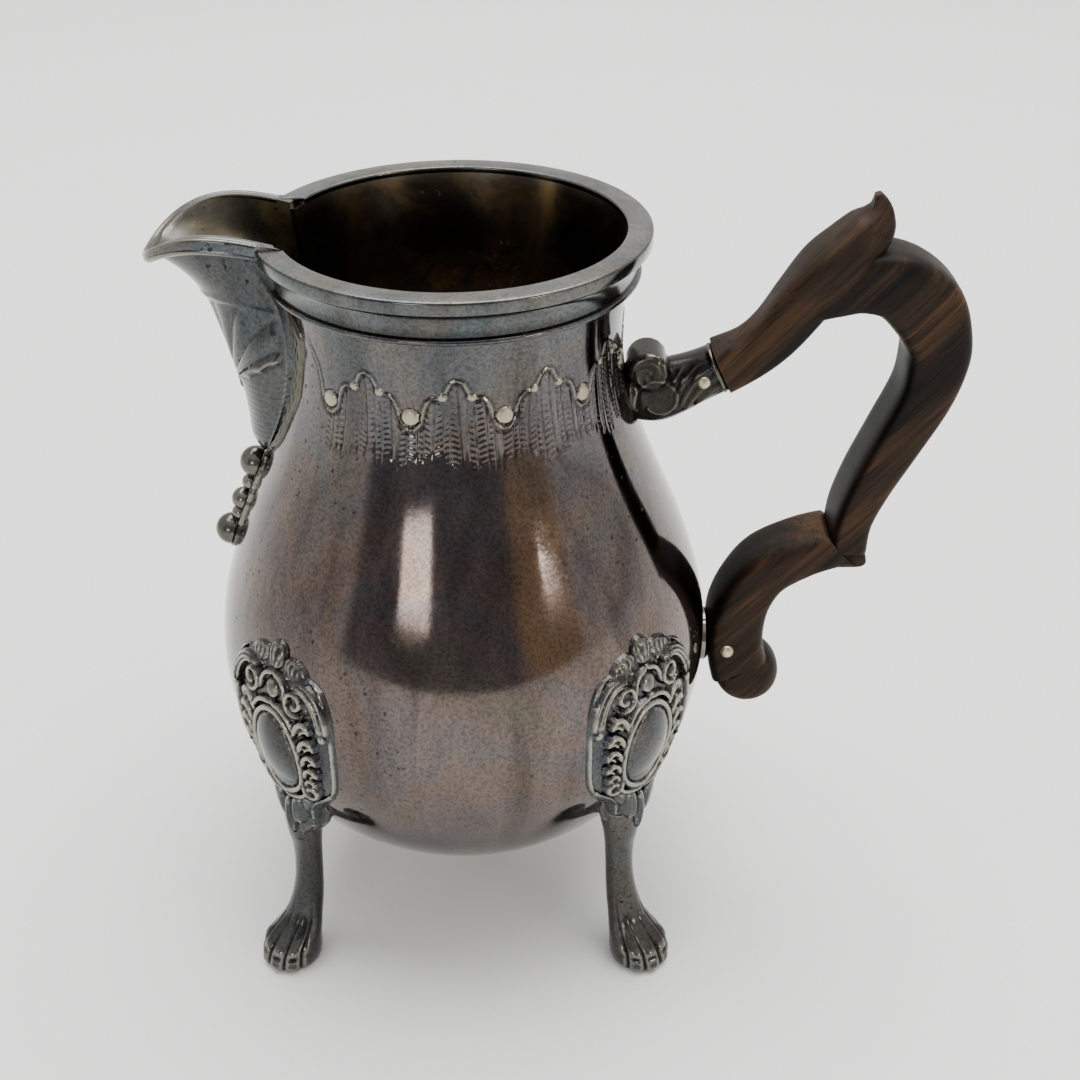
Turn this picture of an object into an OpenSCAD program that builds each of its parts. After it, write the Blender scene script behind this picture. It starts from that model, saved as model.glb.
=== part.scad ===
// Cream jug in raised silver with a carved wooden handle.
// Pear-shaped body, applied beak spout with a leaf border and bead drop, moulded rim,
// four paw feet under shield-shaped cartouches, and a pinned wooden handle.
// Millimetres. +Z is up, the spout points to -X, the handle to +X.
// The origin is on the table, at the centre of the bounding box.

/* [Body] */
// Largest diameter of the body
waist_d = 80; // [78:1:82]
// Height of the largest diameter above the table
waist_z = 48.4; // [47:0.2:50]
// Height of the underside of the bowl above the table
bowl_z = 10.6; // [9:0.2:12]
// Diameter at the narrowest part of the neck
neck_d = 49.8; // [49:0.2:51]
// Height of the narrowest part of the neck
neck_z = 103.8; // [103:0.2:105]
// Outer diameter of the neck at its top edge
mouth_d = 52.4; // [52:0.2:53]
// Sheet thickness of the raised body
wall = 1; // [0.8:0.1:1.2]

/* [Rim moulding] */
// Height of the rim's flat top above the table
rim_z = 118.7; // [118:0.1:119.5]
// Outer diameter of the rim
rim_d = 58; // [57.6:0.2:58.6]
// Height of the whole rim moulding
rim_h = 7.1; // [6.5:0.1:7.5]
// Thickness of the flange that covers the neck's raw edge
rim_flange = 0.9; // [0.7:0.1:1.1]

/* [Spout] */
// Reach of the spout's beak from the jug's axis
spout_reach = 44.8; // [44:0.1:46]
// Half width of the spout between the ends of the rim
lip_half_w = 9.7; // [9.2:0.1:10]
// Half width of the spout where it is broadest, on the neck
spout_half_w = 11.4; // [11:0.1:11.8]
// Height of that broadest place
spout_broad_z = 103; // [102:0.5:104]
// Height of the spout's lower end
spout_low_z = 82; // [81.6:0.1:82.6]
// How far the beak's tip droops below the rim
beak_droop = 3.2; // [3:0.1:4]
// Thickness of the spout's sheet
spout_wall = 1; // [0.8:0.1:1.2]
// Thickness of the strip soldered along the lip
lip_strip_t = 1; // [0.8:0.1:1.2]
// Height of the strip soldered along the lip
lip_strip_h = 2.6; // [2:0.1:3]
// Width of the leaf border around the spout
border_w = 2.2; // [1.8:0.1:2.4]
// Thickness of the leaf border
border_t = 0.9; // [0.7:0.1:1.1]

/* [Feet] */
// Distance of each paw's centre from the jug's axis
foot_r = 41.4; // [41:0.2:42]
// Height at which a leg meets its cartouche
leg_top_z = 25.6; // [25:0.2:26.2]
// Diameter of the flat pad under each paw
pad_d = 6.4; // [5:0.2:7]
// Width of a cartouche
cartouche_w = 25.2; // [24:0.2:26]
// Height of a cartouche's crest above the table
cartouche_top_z = 64; // [63:0.2:65]
// How far a cartouche's ground stands off the body
cartouche_t = 1.3; // [1:0.1:1.6]
// How far the oval boss stands off the body
boss_t = 2.5; // [2.1:0.1:2.8]
// Angle by which the cartouches sit round from the middle of their legs
cartouche_turn = 1.3; // [0:0.1:2]

/* [Handle] */
// Reach of the handle's outer side from the jug's axis
handle_reach = 77; // [76.8:0.1:77.2]
// Width of the handle, across the jug
handle_w = 9.4; // [8.6:0.2:10]
// Slope of the silver socket and of the tenon in it
socket_slope = 25; // [24:0.5:26]
// Diameter of the tenon in the silver socket
tenon_d = 4.4; // [4:0.2:4.6]
// Length of that tenon
tenon_l = 7; // [6:0.5:7.5]
// Diameter of the peg that holds the handle's lower end
peg_d = 4; // [3.6:0.2:4.4]
// Diameter of the two cross pins
pin_d = 1.5; // [1.2:0.1:1.7]
// Diameter of the pins' domed heads
pin_head_d = 2.3; // [2:0.1:2.6]

/* [Hidden] */
$fn = 96;

silver = [0.45, 0.41, 0.43];
worn_silver = [0.58, 0.55, 0.53];
rosewood = [0.25, 0.15, 0.11];

// Azimuth of each foot about the jug's axis
front_left = -135;
front_right = -45;
back_left = 135;
back_right = 45;

waist_r = waist_d / 2;
neck_r = neck_d / 2;
mouth_r = mouth_d / 2;
rim_r = rim_d / 2;
neck_top_z = rim_z - rim_flange;

// The jug's axis stands off the origin so that the bounding box is centred on it
axis_x = (spout_reach - handle_reach) / 2;

// Outer radius of the body at height z: half an ellipse, then a cosine shoulder, then a flare
function bowl_r(z, r, low) = r * sqrt(max(0, 1 - pow((waist_z - z) / (waist_z - low), 2)));
function shoulder_r(z, r, rn) = rn + (r - rn) * (1 + cos(180 * (z - waist_z) / (neck_z - waist_z))) / 2;
function flare_r(z, rn, rm) = rn + (rm - rn) * pow((z - neck_z) / (neck_top_z - neck_z), 1.5);
function body_r(z) = z < waist_z ? bowl_r(z, waist_r, bowl_z)
    : z < neck_z ? shoulder_r(z, waist_r, neck_r) : flare_r(z, neck_r, mouth_r);

// Profile of the body from the bottom of the bowl to the neck's edge, moved inwards by t
function profile(t) = concat(
    [for (a = [0:6:84]) [(waist_r - t) * sin(a), waist_z - (waist_z - bowl_z - t) * cos(a)]],
    [for (i = [0:15]) let (z = waist_z + (neck_z - waist_z) * i / 16)
        [shoulder_r(z, waist_r - t, neck_r - t), z]],
    [for (i = [0:4]) let (z = neck_z + (neck_top_z - neck_z) * i / 4)
        [flare_r(z, neck_r - t, mouth_r - t), z]]
);
function backwards(list) = [for (i = [len(list) - 1:-1:0]) list[i]];

// Loft through rings of m points each, m even; a ring may be a flat section or a bent strip
function loft_faces(rows, m) = concat(
    [for (r = [0:rows - 2], i = [0:m - 1]) let (j = (i + 1) % m) [r * m + i, r * m + j, (r + 1) * m + j]],
    [for (r = [0:rows - 2], i = [0:m - 1]) let (j = (i + 1) % m)
        [r * m + i, (r + 1) * m + j, (r + 1) * m + i]],
    [for (i = [0:m / 2 - 2]) [i + 1, i, m - 1 - i]],
    [for (i = [0:m / 2 - 2]) [i + 1, m - 1 - i, m - 2 - i]],
    [for (i = [0:m / 2 - 2]) let (b = (rows - 1) * m) [b + i, b + i + 1, b + m - 1 - i]],
    [for (i = [0:m / 2 - 2]) let (b = (rows - 1) * m) [b + i + 1, b + m - 2 - i, b + m - 1 - i]]
);
module loft(rings) {
    polyhedron([for (ring = rings) each ring], loft_faces(len(rings), len(rings[0])), convexity = 6);
}

// Smooth curve through stations, with k steps between neighbours
function catmull(a, b, c, d, t) =
    0.5 * (2 * b + (c - a) * t + (2 * a - 5 * b + 4 * c - d) * t * t + (3 * b - a - 3 * c + d) * t * t * t);
function smooth(list, k) = let (n = len(list) - 1)
    [for (i = [0:n * k]) let (s = min(floor(i / k), n - 1), t = i / k - s)
        catmull(list[max(s - 1, 0)], list[s], list[s + 1], list[min(s + 2, n)], t)];

// Rings of a limb that runs in the XZ plane; a station is [x, z, half height, half width]
function signed_pow(v, e) = sign(v) * pow(abs(v), e);
function limb_rings(path, sides, squareness) = [for (i = [0:len(path) - 1])
    let (
        here = path[i],
        step = path[min(i + 1, len(path) - 1)] - path[max(i - 1, 0)],
        run = norm([step[0], step[1]]),
        nx = -step[1] / run,
        nz = step[0] / run
    )
    [for (k = [0:sides - 1]) let (
        a = 360 * (k + 0.5) / sides,
        up = here[2] * signed_pow(cos(a), 2 / squareness),
        across = here[3] * signed_pow(sin(a), 2 / squareness)
    ) [here[0] + nx * up, across, here[1] + nz * up]]];
module limb(stations, k, sides, squareness) {
    loft(limb_rings(smooth(stations, k), sides, squareness));
}

// Places everything with the jug's axis where the frame wants it
module on_axis() {
    translate([axis_x, 0, 0]) children();
}
module along_x(from, to, r) {
    translate([from, 0, 0]) rotate([0, 90, 0]) cylinder(h = to - from, r = r);
}
// Extrudes an outline of (across, height) along +X, from one distance to another
module outward(from, to) {
    translate([from, 0, 0]) rotate([90, 0, 90]) linear_extrude(to - from) children();
}
module body_solid() {
    rotate_extrude() polygon(concat(profile(0), [[0, neck_top_z]]));
}

// ---- body ----
mouth_half_w = lip_half_w - 1.1;
mouth_low_half_w = 7;
mouth_low_z = 94;
mouth_outline = concat(
    [[mouth_half_w, rim_z + 2]],
    [for (a = [0:-15:-180]) [mouth_low_half_w * cos(a), mouth_low_z + mouth_low_half_w * sin(a)]],
    [[-mouth_half_w, rim_z + 2]]
);
module pouring_mouth() {
    mirror([1, 0, 0]) outward(15, 50) polygon(mouth_outline);
}
module body_shell() {
    color(silver) on_axis() difference() {
        rotate_extrude() polygon(concat(profile(0), backwards(profile(wall))));
        pouring_mouth();
    }
}

// ---- rim ----
rim_top_band_h = 1.9;
rim_hollow_r = 26.9;
rim_low_bead_r = 27.5;
rim_low_z = rim_z - rim_h;
rim_gap_half_w = lip_half_w + lip_strip_t + 0.05;
rim_profile = concat(
    [
        [mouth_r - wall, neck_top_z],
        [mouth_r - wall, rim_z - 0.3],
        [mouth_r - wall + 0.3, rim_z],
        [rim_r - 0.3, rim_z],
        [rim_r, rim_z - 0.3],
        [rim_r, rim_z - rim_top_band_h],
    ],
    [for (a = [0:15:75]) [
        rim_hollow_r + (rim_r - 0.4 - rim_hollow_r) * (1 - sin(a)),
        rim_z - rim_top_band_h - (rim_h - rim_top_band_h - 1.2) * (1 - cos(a)) - 0.1
    ]],
    [
        [rim_hollow_r, rim_low_z + 1.1],
        [rim_low_bead_r, rim_low_z + 0.8],
        [rim_low_bead_r, rim_low_z + 0.4],
        [body_r(rim_low_z) + 0.6, rim_low_z],
        [body_r(rim_low_z), rim_low_z],
    ],
    [for (i = [1:4]) let (z = rim_low_z + (neck_top_z - rim_low_z) * i / 4) [body_r(z), z]]
);
module rim_moulding() {
    color(worn_silver) on_axis() difference() {
        rotate_extrude() polygon(rim_profile);
        mirror([1, 0, 0]) outward(15, 50) translate([-rim_gap_half_w, rim_low_z - 1])
            square([2 * rim_gap_half_w, rim_h + 2]);
    }
}

// ---- spout ----
// The spout is a fan of sections. s runs from the lip (0) to the lower end (1), and phi from
// one flank (-90) over the keel (0) to the other flank (90).
lip_root_x = sqrt(pow(mouth_r, 2) - pow(lip_half_w, 2));
lip_curve = 3.1;
shell_reach = spout_reach - lip_strip_t;
keel_low_x = 32.2;
spout_rows = 14;
spout_cols = 18;
function flank_z(s) = rim_z + (spout_low_z - rim_z) * s;
function flank_w(z) = z > spout_broad_z
    ? lip_half_w + (spout_half_w - lip_half_w) * (1 - cos(180 * (rim_z - z) / (rim_z - spout_broad_z))) / 2
    : spout_half_w * sqrt(max(0, 1 - pow((spout_broad_z - z) / (spout_broad_z - spout_low_z), 1.6)));
function keel_z(s) = rim_z - beak_droop + (spout_low_z - rim_z + beak_droop) * pow(s, 1.05);
function keel_rise(z) = max(0, z - 88) / (rim_z - beak_droop - 88);
function keel_x(z) = keel_low_x + 7.6 * pow(keel_rise(z), 1.8)
    + (shell_reach - keel_low_x - 7.6) * pow(keel_rise(z), 10);
function low_rounding(s) = sqrt(max(0, 1 - pow(max(0, s - 0.86) / 0.14, 2)));
function section_curve(s) =
    s < 0.25
    ? lip_curve + (1.75 - lip_curve) * s / 0.25
    : 1.75 + 0.5 * (s - 0.25) / 0.75;
function spout_point(s, phi, inset) = let (
    zf = flank_z(s),
    w = max(0.02, flank_w(zf) - inset),
    wall_r = s == 0 ? mouth_r : body_r(min(zf, neck_top_z)) + 0.02,
    root = sqrt(pow(wall_r, 2) - pow(w, 2)),
    reach = max(root + 0.3 - 0.2 * inset, root + (keel_x(keel_z(s)) - root) * low_rounding(s) - inset),
    u = pow(cos(phi), 2 / section_curve(s)),
    v = signed_pow(sin(phi), 2 / section_curve(s)),
    lift = 1.4 * sin(180 * u) * pow(1 - s, 3),
    fall = (keel_z(s) - zf) * pow(u, 6 - 4 * min(1, 3 * s))
) [-(root + (reach - root) * u), w * v, zf + lift + fall];
function spout_ring(s) = concat(
    [for (i = [0:spout_cols]) spout_point(s, -90 + 180 * i / spout_cols, 0)],
    [for (i = [spout_cols:-1:0]) spout_point(s, -90 + 180 * i / spout_cols, spout_wall)]
);
module spout_shell() {
    color(silver) on_axis() loft([for (j = [0:spout_rows]) spout_ring(j / spout_rows)]);
}

// The lip strip follows the lip, outside the shell, and is shallower at the beak
lip_strip_taper = 0.9;
function lip_frame(phi) = let (
    a = spout_point(0, max(-90, phi - 2), 0),
    b = spout_point(0, min(90, phi + 2), 0),
    d = [b[0] - a[0], b[1] - a[1]] / norm([b[0] - a[0], b[1] - a[1]])
) [spout_point(0, phi, 0), [-d[1], d[0], 0] * sign(d[1])];
function strip_ring(phi) = let (
    f = lip_frame(phi),
    p = f[0],
    out = [-abs(f[1][0]), f[1][1] == 0 ? 0 : sign(p[1]) * abs(f[1][1]), 0],
    t = lip_strip_t,
    h = lip_strip_h - lip_strip_taper * pow(cos(phi), 2)
) [
    p + out * 0.02,
    p + out * t * 0.7,
    p + out * t + [0, 0, -0.5],
    p + out * t + [0, 0, 0.7 - h],
    p + out * t * 0.6 + [0, 0, -h],
    p + out * 0.02 + [0, 0, -h],
];
module spout_lip_strip() {
    color(worn_silver) on_axis() loft([for (i = [0:28]) strip_ring(-88 + 176 * i / 28)]);
}

// ---- leaf border and bead drop ----
border_top_z = rim_z - rim_h - 0.2;
border_steps = 30;
// Width of the border against height, in parts of border_w: one broad leaf tip below the rim
leaf_widths = [
    [80, 0.95], [92, 0.95], [99, 1], [103, 1.2], [106.4, 1.5], [107.6, 1.4], [109.4, 0.7], [111.4, 0.35],
];
leaf_ripple = 0.16;
// q is the distance along the border, -1 at the top of one side, 0 under the spout, 1 at the other top
function border_ring(q) = let (
    z0 = spout_low_z - 0.35 + (border_top_z - spout_low_z + 0.35) * pow(abs(q), 1.25),
    w0 = flank_w(max(z0, spout_low_z + 0.01)) + 0.1,
    under = cos(90 * min(1, abs(q) * 2.2)),
    width = border_w * (lookup(z0, leaf_widths) + leaf_ripple * cos(360 * 3.5 * abs(q))),
    w1 = w0 + width * sqrt(1 - under * under),
    z1 = z0 - width * 0.45 * under
) [for (c = [[0, 0], [0, 1], [0.5, 1], [1, 0.6], [1, 0], [0.5, 0]]) let (
    w = w0 + (w1 - w0) * c[0],
    z = z0 + (z1 - z0) * c[0],
    r = body_r(z) + 0.06 + border_t * c[1],
    az = asin(min(0.98, w / r)) * sign(q)
) [-r * cos(az), r * sin(az), z]];
module spout_leaf_border() {
    color(silver) on_axis() loft([for (i = [-border_steps:border_steps]) border_ring(i / border_steps)]);
}

// Each bead: height, how far its centre stands off the body, radius
beads = [[79.5, 1.3, 2.3], [75.6, 0.9, 1.2], [72.4, 1.1, 1.6], [69.9, 0.8, 1.2], [67, 1.2, 2.45]];
drop_top_half_w = 3;
drop_low_half_w = 2;
drop_top_z = 78.4;
drop_low_z = 66;
drop_t = 0.8;
drop_outline = concat(
    [for (a = [0:20:180]) [drop_top_half_w * cos(a), drop_top_z + drop_top_half_w * sin(a)]],
    [for (a = [180:20:360]) [drop_low_half_w * cos(a), drop_low_z + drop_low_half_w * sin(a)]]
);
module bead_drop() {
    color(silver) on_axis() difference() {
        union() {
            for (b = beads) translate([-body_r(b[0]) - b[1], 0, b[0]]) sphere(b[2]);
            intersection() {
                mirror([1, 0, 0]) outward(20, 45) polygon(drop_outline);
                rotate_extrude() polygon(concat(
                    [for (z = [62:2:82]) [body_r(z) + drop_t, z]],
                    [for (z = [82:-2:62]) [body_r(z) - 1, z]]
                ));
            }
        }
        body_solid();
    }
}

// ---- cartouches ----
cart_low_r = 38.9;
cart_turn_z = 40;
// Outer radius of a cartouche's ground: it follows the body, then runs straight down to the leg
function cart_r(z, t) = z > cart_turn_z ? body_r(z) + t
    : cart_low_r + (body_r(cart_turn_z) + t - cart_low_r) * (z - leg_top_z) / (cart_turn_z - leg_top_z);
// Half outline of a cartouche as parts of its half width and its height
cart_half = [
    [0, 1], [0.14, 0.985], [0.2, 0.955], [0.28, 0.985], [0.42, 0.98], [0.52, 0.945], [0.66, 0.91],
    [0.84, 0.84], [0.93, 0.78], [0.98, 0.7], [1, 0.58], [1, 0.49], [0.96, 0.37], [0.9, 0.345],
    [0.55, 0.245], [0.32, 0.12], [0.26, 0],
];
cart_h = cartouche_top_z - leg_top_z;
cart_points = [for (p = cart_half) [p[0] * cartouche_w / 2, leg_top_z + p[1] * cart_h]];
cart_outline = concat(cart_points, [for (p = backwards(cart_points)) if (p[0] > 0) [-p[0], p[1]]]);
boss_centre_z = 44.8;
boss_half_w = 4.6;
boss_half_h = 7.4;
boss_outline = [for (a = [0:15:345]) [boss_half_w * cos(a), boss_centre_z + boss_half_h * sin(a)]];
module stand_off(t) {
    top = cartouche_top_z + 1;
    rotate_extrude() polygon(concat(
        [[cart_r(leg_top_z, t), leg_top_z]],
        [for (z = [28:3:64]) [cart_r(z, t), z]],
        [[cart_r(top, t), top], [20, top], [20, leg_top_z]]
    ));
}
module cartouche(azimuth) {
    color(silver) on_axis() difference() {
        rotate([0, 0, azimuth + cartouche_turn]) {
            intersection() {
                outward(25, 46) polygon(cart_outline);
                stand_off(cartouche_t);
            }
            intersection() {
                outward(34, 46) polygon(boss_outline);
                stand_off(boss_t);
            }
        }
        body_solid();
    }
}

// ---- legs ----
// Stations down the leg: distance from the axis, height, half depth, half width
leg_stations = [
    [36.35, leg_top_z - 0.02, 2.5, 2.9], [36.2, 22.4, 2.25, 2.5], [36.25, 18.5, 2.2, 2.3],
    [36.6, 14, 2.4, 2.55], [37.4, 10, 2.8, 3], [38.8, 6.6, 3.3, 3.8], [40.4, 4.2, 3.7, 4.3],
];
paw_z = 3;
paw_r = 4;
toe_z = 2;
toe_r = 1.9;
// Each toe: bearing about the paw's centre, and how far out it sits
toes = [[-54, 3.4], [-18, 4], [18, 4], [54, 3.4]];
module leg(azimuth) {
    color(silver) on_axis() rotate([0, 0, azimuth]) difference() {
        union() {
            limb(leg_stations, 3, 16, 2.2);
            translate([foot_r - 1, 0, paw_z]) sphere(paw_r);
            for (t = toes) translate([foot_r - 1 + t[1] * cos(t[0]), t[1] * sin(t[0]), toe_z]) sphere(toe_r);
            translate([foot_r - 0.4, 0, 0]) cylinder(h = 1.2, d = pad_d);
        }
        translate([foot_r - 12, -12, -6]) cube([24, 24, 6]);
    }
}

// ---- handle ----
socket_end = [40, 96.1];
socket_r = 3.4;
pin_back = 3;
peg_z = 46;
peg_seat_x = 41.1;
peg_end_x = 46.6;
lower_pin_x = 43.8;
// Local +X runs up the socket and the wooden arm, from the socket's end face
module along_arm() {
    translate([socket_end[0], 0, socket_end[1]]) rotate([0, -socket_slope, 0]) children();
}
module cross_bore(d) {
    rotate([90, 0, 0]) cylinder(h = 40, d = d, center = true);
}
module headed_pin(half_l) {
    rotate([90, 0, 0]) cylinder(h = 2 * half_l, d = pin_d, center = true);
    for (side = [-1, 1]) translate([0, side * half_l, 0]) intersection() {
        sphere(d = pin_head_d);
        translate([-2, side > 0 ? 0 : -2, -2]) cube([4, 2, 4]);
    }
}
roll_z = 96.3;
roll_x = 28.9;
roll_r = 3.1;
knuckle_x = 30.4;
knuckle_z = 92.4;
knuckle_r = 4.8;
elbow_x = 34.2;
elbow_z = 92.8;
elbow_r = 3.8;
module handle_socket() {
    color(silver) on_axis() difference() {
        union() {
            translate([0, 0, knuckle_z]) along_x(20, 27.4, 4.2);
            translate([roll_x, 0, roll_z]) rotate([90, 0, 0]) cylinder(h = 7.6, r = roll_r, center = true);
            translate([knuckle_x, 0, knuckle_z]) sphere(knuckle_r);
            translate([elbow_x, 0, elbow_z]) sphere(elbow_r);
            along_arm() along_x(-9.4, 0, socket_r);
        }
        body_solid();
        along_arm() along_x(-tenon_l, 1, tenon_d / 2);
        along_arm() translate([-pin_back, 0, 0]) cross_bore(pin_d);
    }
}
module upper_pin() {
    color(worn_silver) on_axis() along_arm() translate([-pin_back, 0, 0]) headed_pin(socket_r);
}

half_w = handle_w / 2;
// Stations along the arm and its leaf thumb-piece, the grip, and the lower scroll
arm_stations = [
    [40.3, 96.24, 4, 4], [44.7, 98.7, 3.6, 4.1], [48.1, 102, 3.7, 4.3], [51.4, 106.8, 4, 4.5],
    [54.6, 111.6, 3.9, half_w], [57.6, 115.1, 3.3, half_w], [60.6, 118.2, 3.1, 4], [61.5, 120.8, 1.8, 2.6],
    [60.9, 123.2, 0.5, 0.8],
];
grip_stations = [
    [51, 106.2, 2.6, 4], [55.2, 109, 3.8, half_w], [59.8, 110.6, 4.6, half_w], [65, 110, 5.2, half_w],
    [69.6, 106.4, 5.6, half_w], [72.1, 101.2, 5, half_w], [72.3, 97, 4.7, half_w], [71, 91.6, 4.2, half_w],
    [67.7, 83.9, 3.8, half_w], [64.5, 76.5, 3.4, half_w], [62.6, 70.5, 3.1, half_w],
    [62.2, 65.2, 3.1, half_w],
];
scroll_stations = [
    [61.4, 64.8, 2.6, 4], [59.6, 64.9, 3.2, half_w], [55.2, 63.4, 3.5, half_w], [49.8, 60.2, 3.9, half_w],
    [46.9, 55.8, 4.2, half_w], [45.5, 51, 4.6, half_w], [45.4, 46, 4.7, half_w], [46.2, 41.6, 4.9, half_w],
    [47.3, 38.6, 4.4, 4],
];
heel = [[60, 66], [64.9, 67], [65.3, 63.4], [64.3, 62.3], [58.5, 62.2]];
scroll_end = [48, 38.9];
module wood_handle() {
    color(rosewood) on_axis() difference() {
        union() {
            along_arm() along_x(-tenon_l + 0.3, 3, tenon_d / 2);
            limb(arm_stations, 3, 16, 3.4);
            limb(grip_stations, 3, 16, 3.8);
            limb(scroll_stations, 3, 16, 3.8);
            translate([0, half_w - 0.7, 0]) rotate([90, 0, 0]) linear_extrude(handle_w - 1.4) polygon(heel);
            translate([scroll_end[0], 0, scroll_end[1]]) sphere(5.4);
        }
        along_arm() along_x(-10, 0, 12);
        translate([peg_seat_x - 6, -8, peg_z - 7]) cube([6, 16, 14]);
        translate([0, 0, peg_z]) along_x(peg_seat_x - 1, peg_end_x + 0.2, peg_d / 2);
        translate([lower_pin_x, 0, peg_z]) cross_bore(pin_d);
    }
}
module lower_peg() {
    color(silver) on_axis() difference() {
        translate([0, 0, peg_z]) {
            along_x(36, peg_seat_x, 4.5);
            along_x(peg_seat_x - 1, peg_end_x, peg_d / 2);
        }
        body_solid();
        translate([lower_pin_x, 0, peg_z]) cross_bore(pin_d);
    }
}
module lower_pin() {
    color(worn_silver) on_axis() translate([lower_pin_x, 0, peg_z]) headed_pin(half_w);
}

body_shell();
rim_moulding();
spout_shell();
spout_lip_strip();
spout_leaf_border();
bead_drop();
cartouche(front_left);  // cartouche_front_left
cartouche(front_right);  // cartouche_front_right
cartouche(back_left);  // cartouche_back_left
cartouche(back_right);  // cartouche_back_right
leg(front_left);  // leg_front_left
leg(front_right);  // leg_front_right
leg(back_left);  // leg_back_left
leg(back_right);  // leg_back_right
handle_socket();
wood_handle();
upper_pin();
lower_peg();
lower_pin();
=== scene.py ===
"""Silver cream jug with a carved wooden handle: its fine surfaces and finishes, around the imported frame.

Every shape is worked out in millimetres about the jug's own axis, with the spout to -X and the
handle to +X, and make_piece puts it in the row frame, in metres."""

import math

import bmesh
import bpy
import numpy as np
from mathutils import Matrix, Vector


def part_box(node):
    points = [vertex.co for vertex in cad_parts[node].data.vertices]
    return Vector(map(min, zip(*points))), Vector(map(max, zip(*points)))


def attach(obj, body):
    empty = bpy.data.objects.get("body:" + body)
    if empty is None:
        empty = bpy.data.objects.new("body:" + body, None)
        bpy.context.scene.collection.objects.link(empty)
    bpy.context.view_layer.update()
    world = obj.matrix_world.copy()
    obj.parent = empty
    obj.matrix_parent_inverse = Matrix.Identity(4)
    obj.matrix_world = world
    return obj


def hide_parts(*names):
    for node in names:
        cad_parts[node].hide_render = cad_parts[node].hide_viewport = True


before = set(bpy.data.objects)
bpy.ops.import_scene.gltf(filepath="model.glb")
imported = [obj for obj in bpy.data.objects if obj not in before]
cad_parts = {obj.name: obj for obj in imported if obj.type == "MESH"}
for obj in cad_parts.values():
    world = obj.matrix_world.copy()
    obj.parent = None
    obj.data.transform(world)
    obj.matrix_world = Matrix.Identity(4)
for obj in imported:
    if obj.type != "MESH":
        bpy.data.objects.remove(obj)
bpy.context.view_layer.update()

MM = 0.001
WEAR_SMOOTHING = 4
WEAR_GAIN = 0.28
# Height that the materials count as 1, in millimetres
TALLEST = 125.0


def cad_box(node):
    low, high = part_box(node)
    return np.array(low) / MM, np.array(high) / MM


# ---- driving measures, from the frame where a box holds them ----
shell_low, shell_high = cad_box("body_shell")
rim_low, rim_high = cad_box("rim_moulding")
AXIS_X = (shell_low[0] + shell_high[0]) / 2
WAIST_R = (shell_high[1] - shell_low[1]) / 2
BOWL_Z = shell_low[2]
NECK_TOP_Z = shell_high[2]
RIM_Z = rim_high[2]
RIM_LOW_Z = rim_low[2]
RIM_R = rim_high[1]
SPOUT_REACH = AXIS_X - cad_box("spout_lip_strip")[0][0]
SPOUT_LOW_Z = cad_box("spout_shell")[0][2] + 0.1
HANDLE_W = cad_box("wood_handle")[1][1] * 2
LEG_TOP_Z = cad_box("cartouche_front_left")[0][2]
CREST_Z = cad_box("cartouche_front_left")[1][2]
# The rest repeats the design's own values
WAIST_Z = 48.4
NECK_R = 24.9
NECK_Z = 103.8
MOUTH_R = 26.2
WALL = 1.0
CARTOUCHE_TURN = 1.3
FEET = {"front_left": -135, "front_right": -45, "back_left": 135, "back_right": 45}


# ---- small mathematics ----
def smoothstep(low, high, value):
    t = np.clip((np.asarray(value, float) - low) / (high - low), 0, 1)
    return t * t * (3 - 2 * t)


def bell(offset, width):
    """1 where offset is 0, falling smoothly to nothing past about twice the width."""
    return np.exp(-(offset / width) ** 2)


def wave(turns):
    """A cosine that repeats with every whole turn."""
    return np.cos(2 * math.pi * turns)


def xyz(x, y, z):
    """Points from their coordinates, which may be arrays of different shapes."""
    return np.stack(np.broadcast_arrays(x, y, z), -1)


def signed_pow(value, power):
    return np.sign(value) * np.abs(value) ** power


def smooth_curve(stations, steps):
    """Catmull-Rom curve through the stations, with steps points between neighbours."""
    p = np.asarray(stations, float)
    n = len(p) - 1
    out = []
    for i in range(n * steps + 1):
        s = min(i // steps, n - 1)
        t = i / steps - s
        a, b, c, d = p[max(s - 1, 0)], p[s], p[s + 1], p[min(s + 2, n)]
        out.append(0.5 * (2 * b + (c - a) * t + (2 * a - 5 * b + 4 * c - d) * t ** 2
                          + (3 * b - a - 3 * c + d) * t ** 3))
    return np.array(out)


def turned_about_z(points, degrees):
    a = math.radians(degrees)
    x, y, z = np.moveaxis(np.asarray(points, float), -1, 0)
    return xyz(x * math.cos(a) - y * math.sin(a), x * math.sin(a) + y * math.cos(a), z)


def polar(r, az_deg, z):
    a = np.radians(az_deg)
    return xyz(r * np.cos(a), r * np.sin(a), z)


def surface_normals(grid):
    """Unit normals of a grid of points, from its two directions."""
    n = np.cross(np.gradient(grid, axis=0), np.gradient(grid, axis=1))
    return n / np.maximum(np.linalg.norm(n, axis=-1, keepdims=True), 1e-9)


# ---- skins: (vertices, faces) pairs ----
def grid_faces(rows, cols, wrap):
    r = np.arange(rows - 1)[:, None]
    c = np.arange(cols if wrap else cols - 1)[None, :]
    a = r * cols + c
    b = r * cols + (c + 1) % cols
    return np.stack([a, b, b + cols, a + cols], -1).reshape(-1, 4).tolist()


def loft(rings):
    """Closed skin through rings of equal length, with a flat cap on each end."""
    rings = np.asarray(rings, float)
    rows, cols = rings.shape[:2]
    faces = grid_faces(rows, cols, True)
    faces.append(list(range(cols - 1, -1, -1)))
    faces.append(list(range((rows - 1) * cols, rows * cols)))
    return rings.reshape(-1, 3), faces


def between(front, back):
    """Closed skin between two grids of points of the same shape."""
    return loft(np.concatenate([front, back[:, ::-1]], 1))


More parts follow.
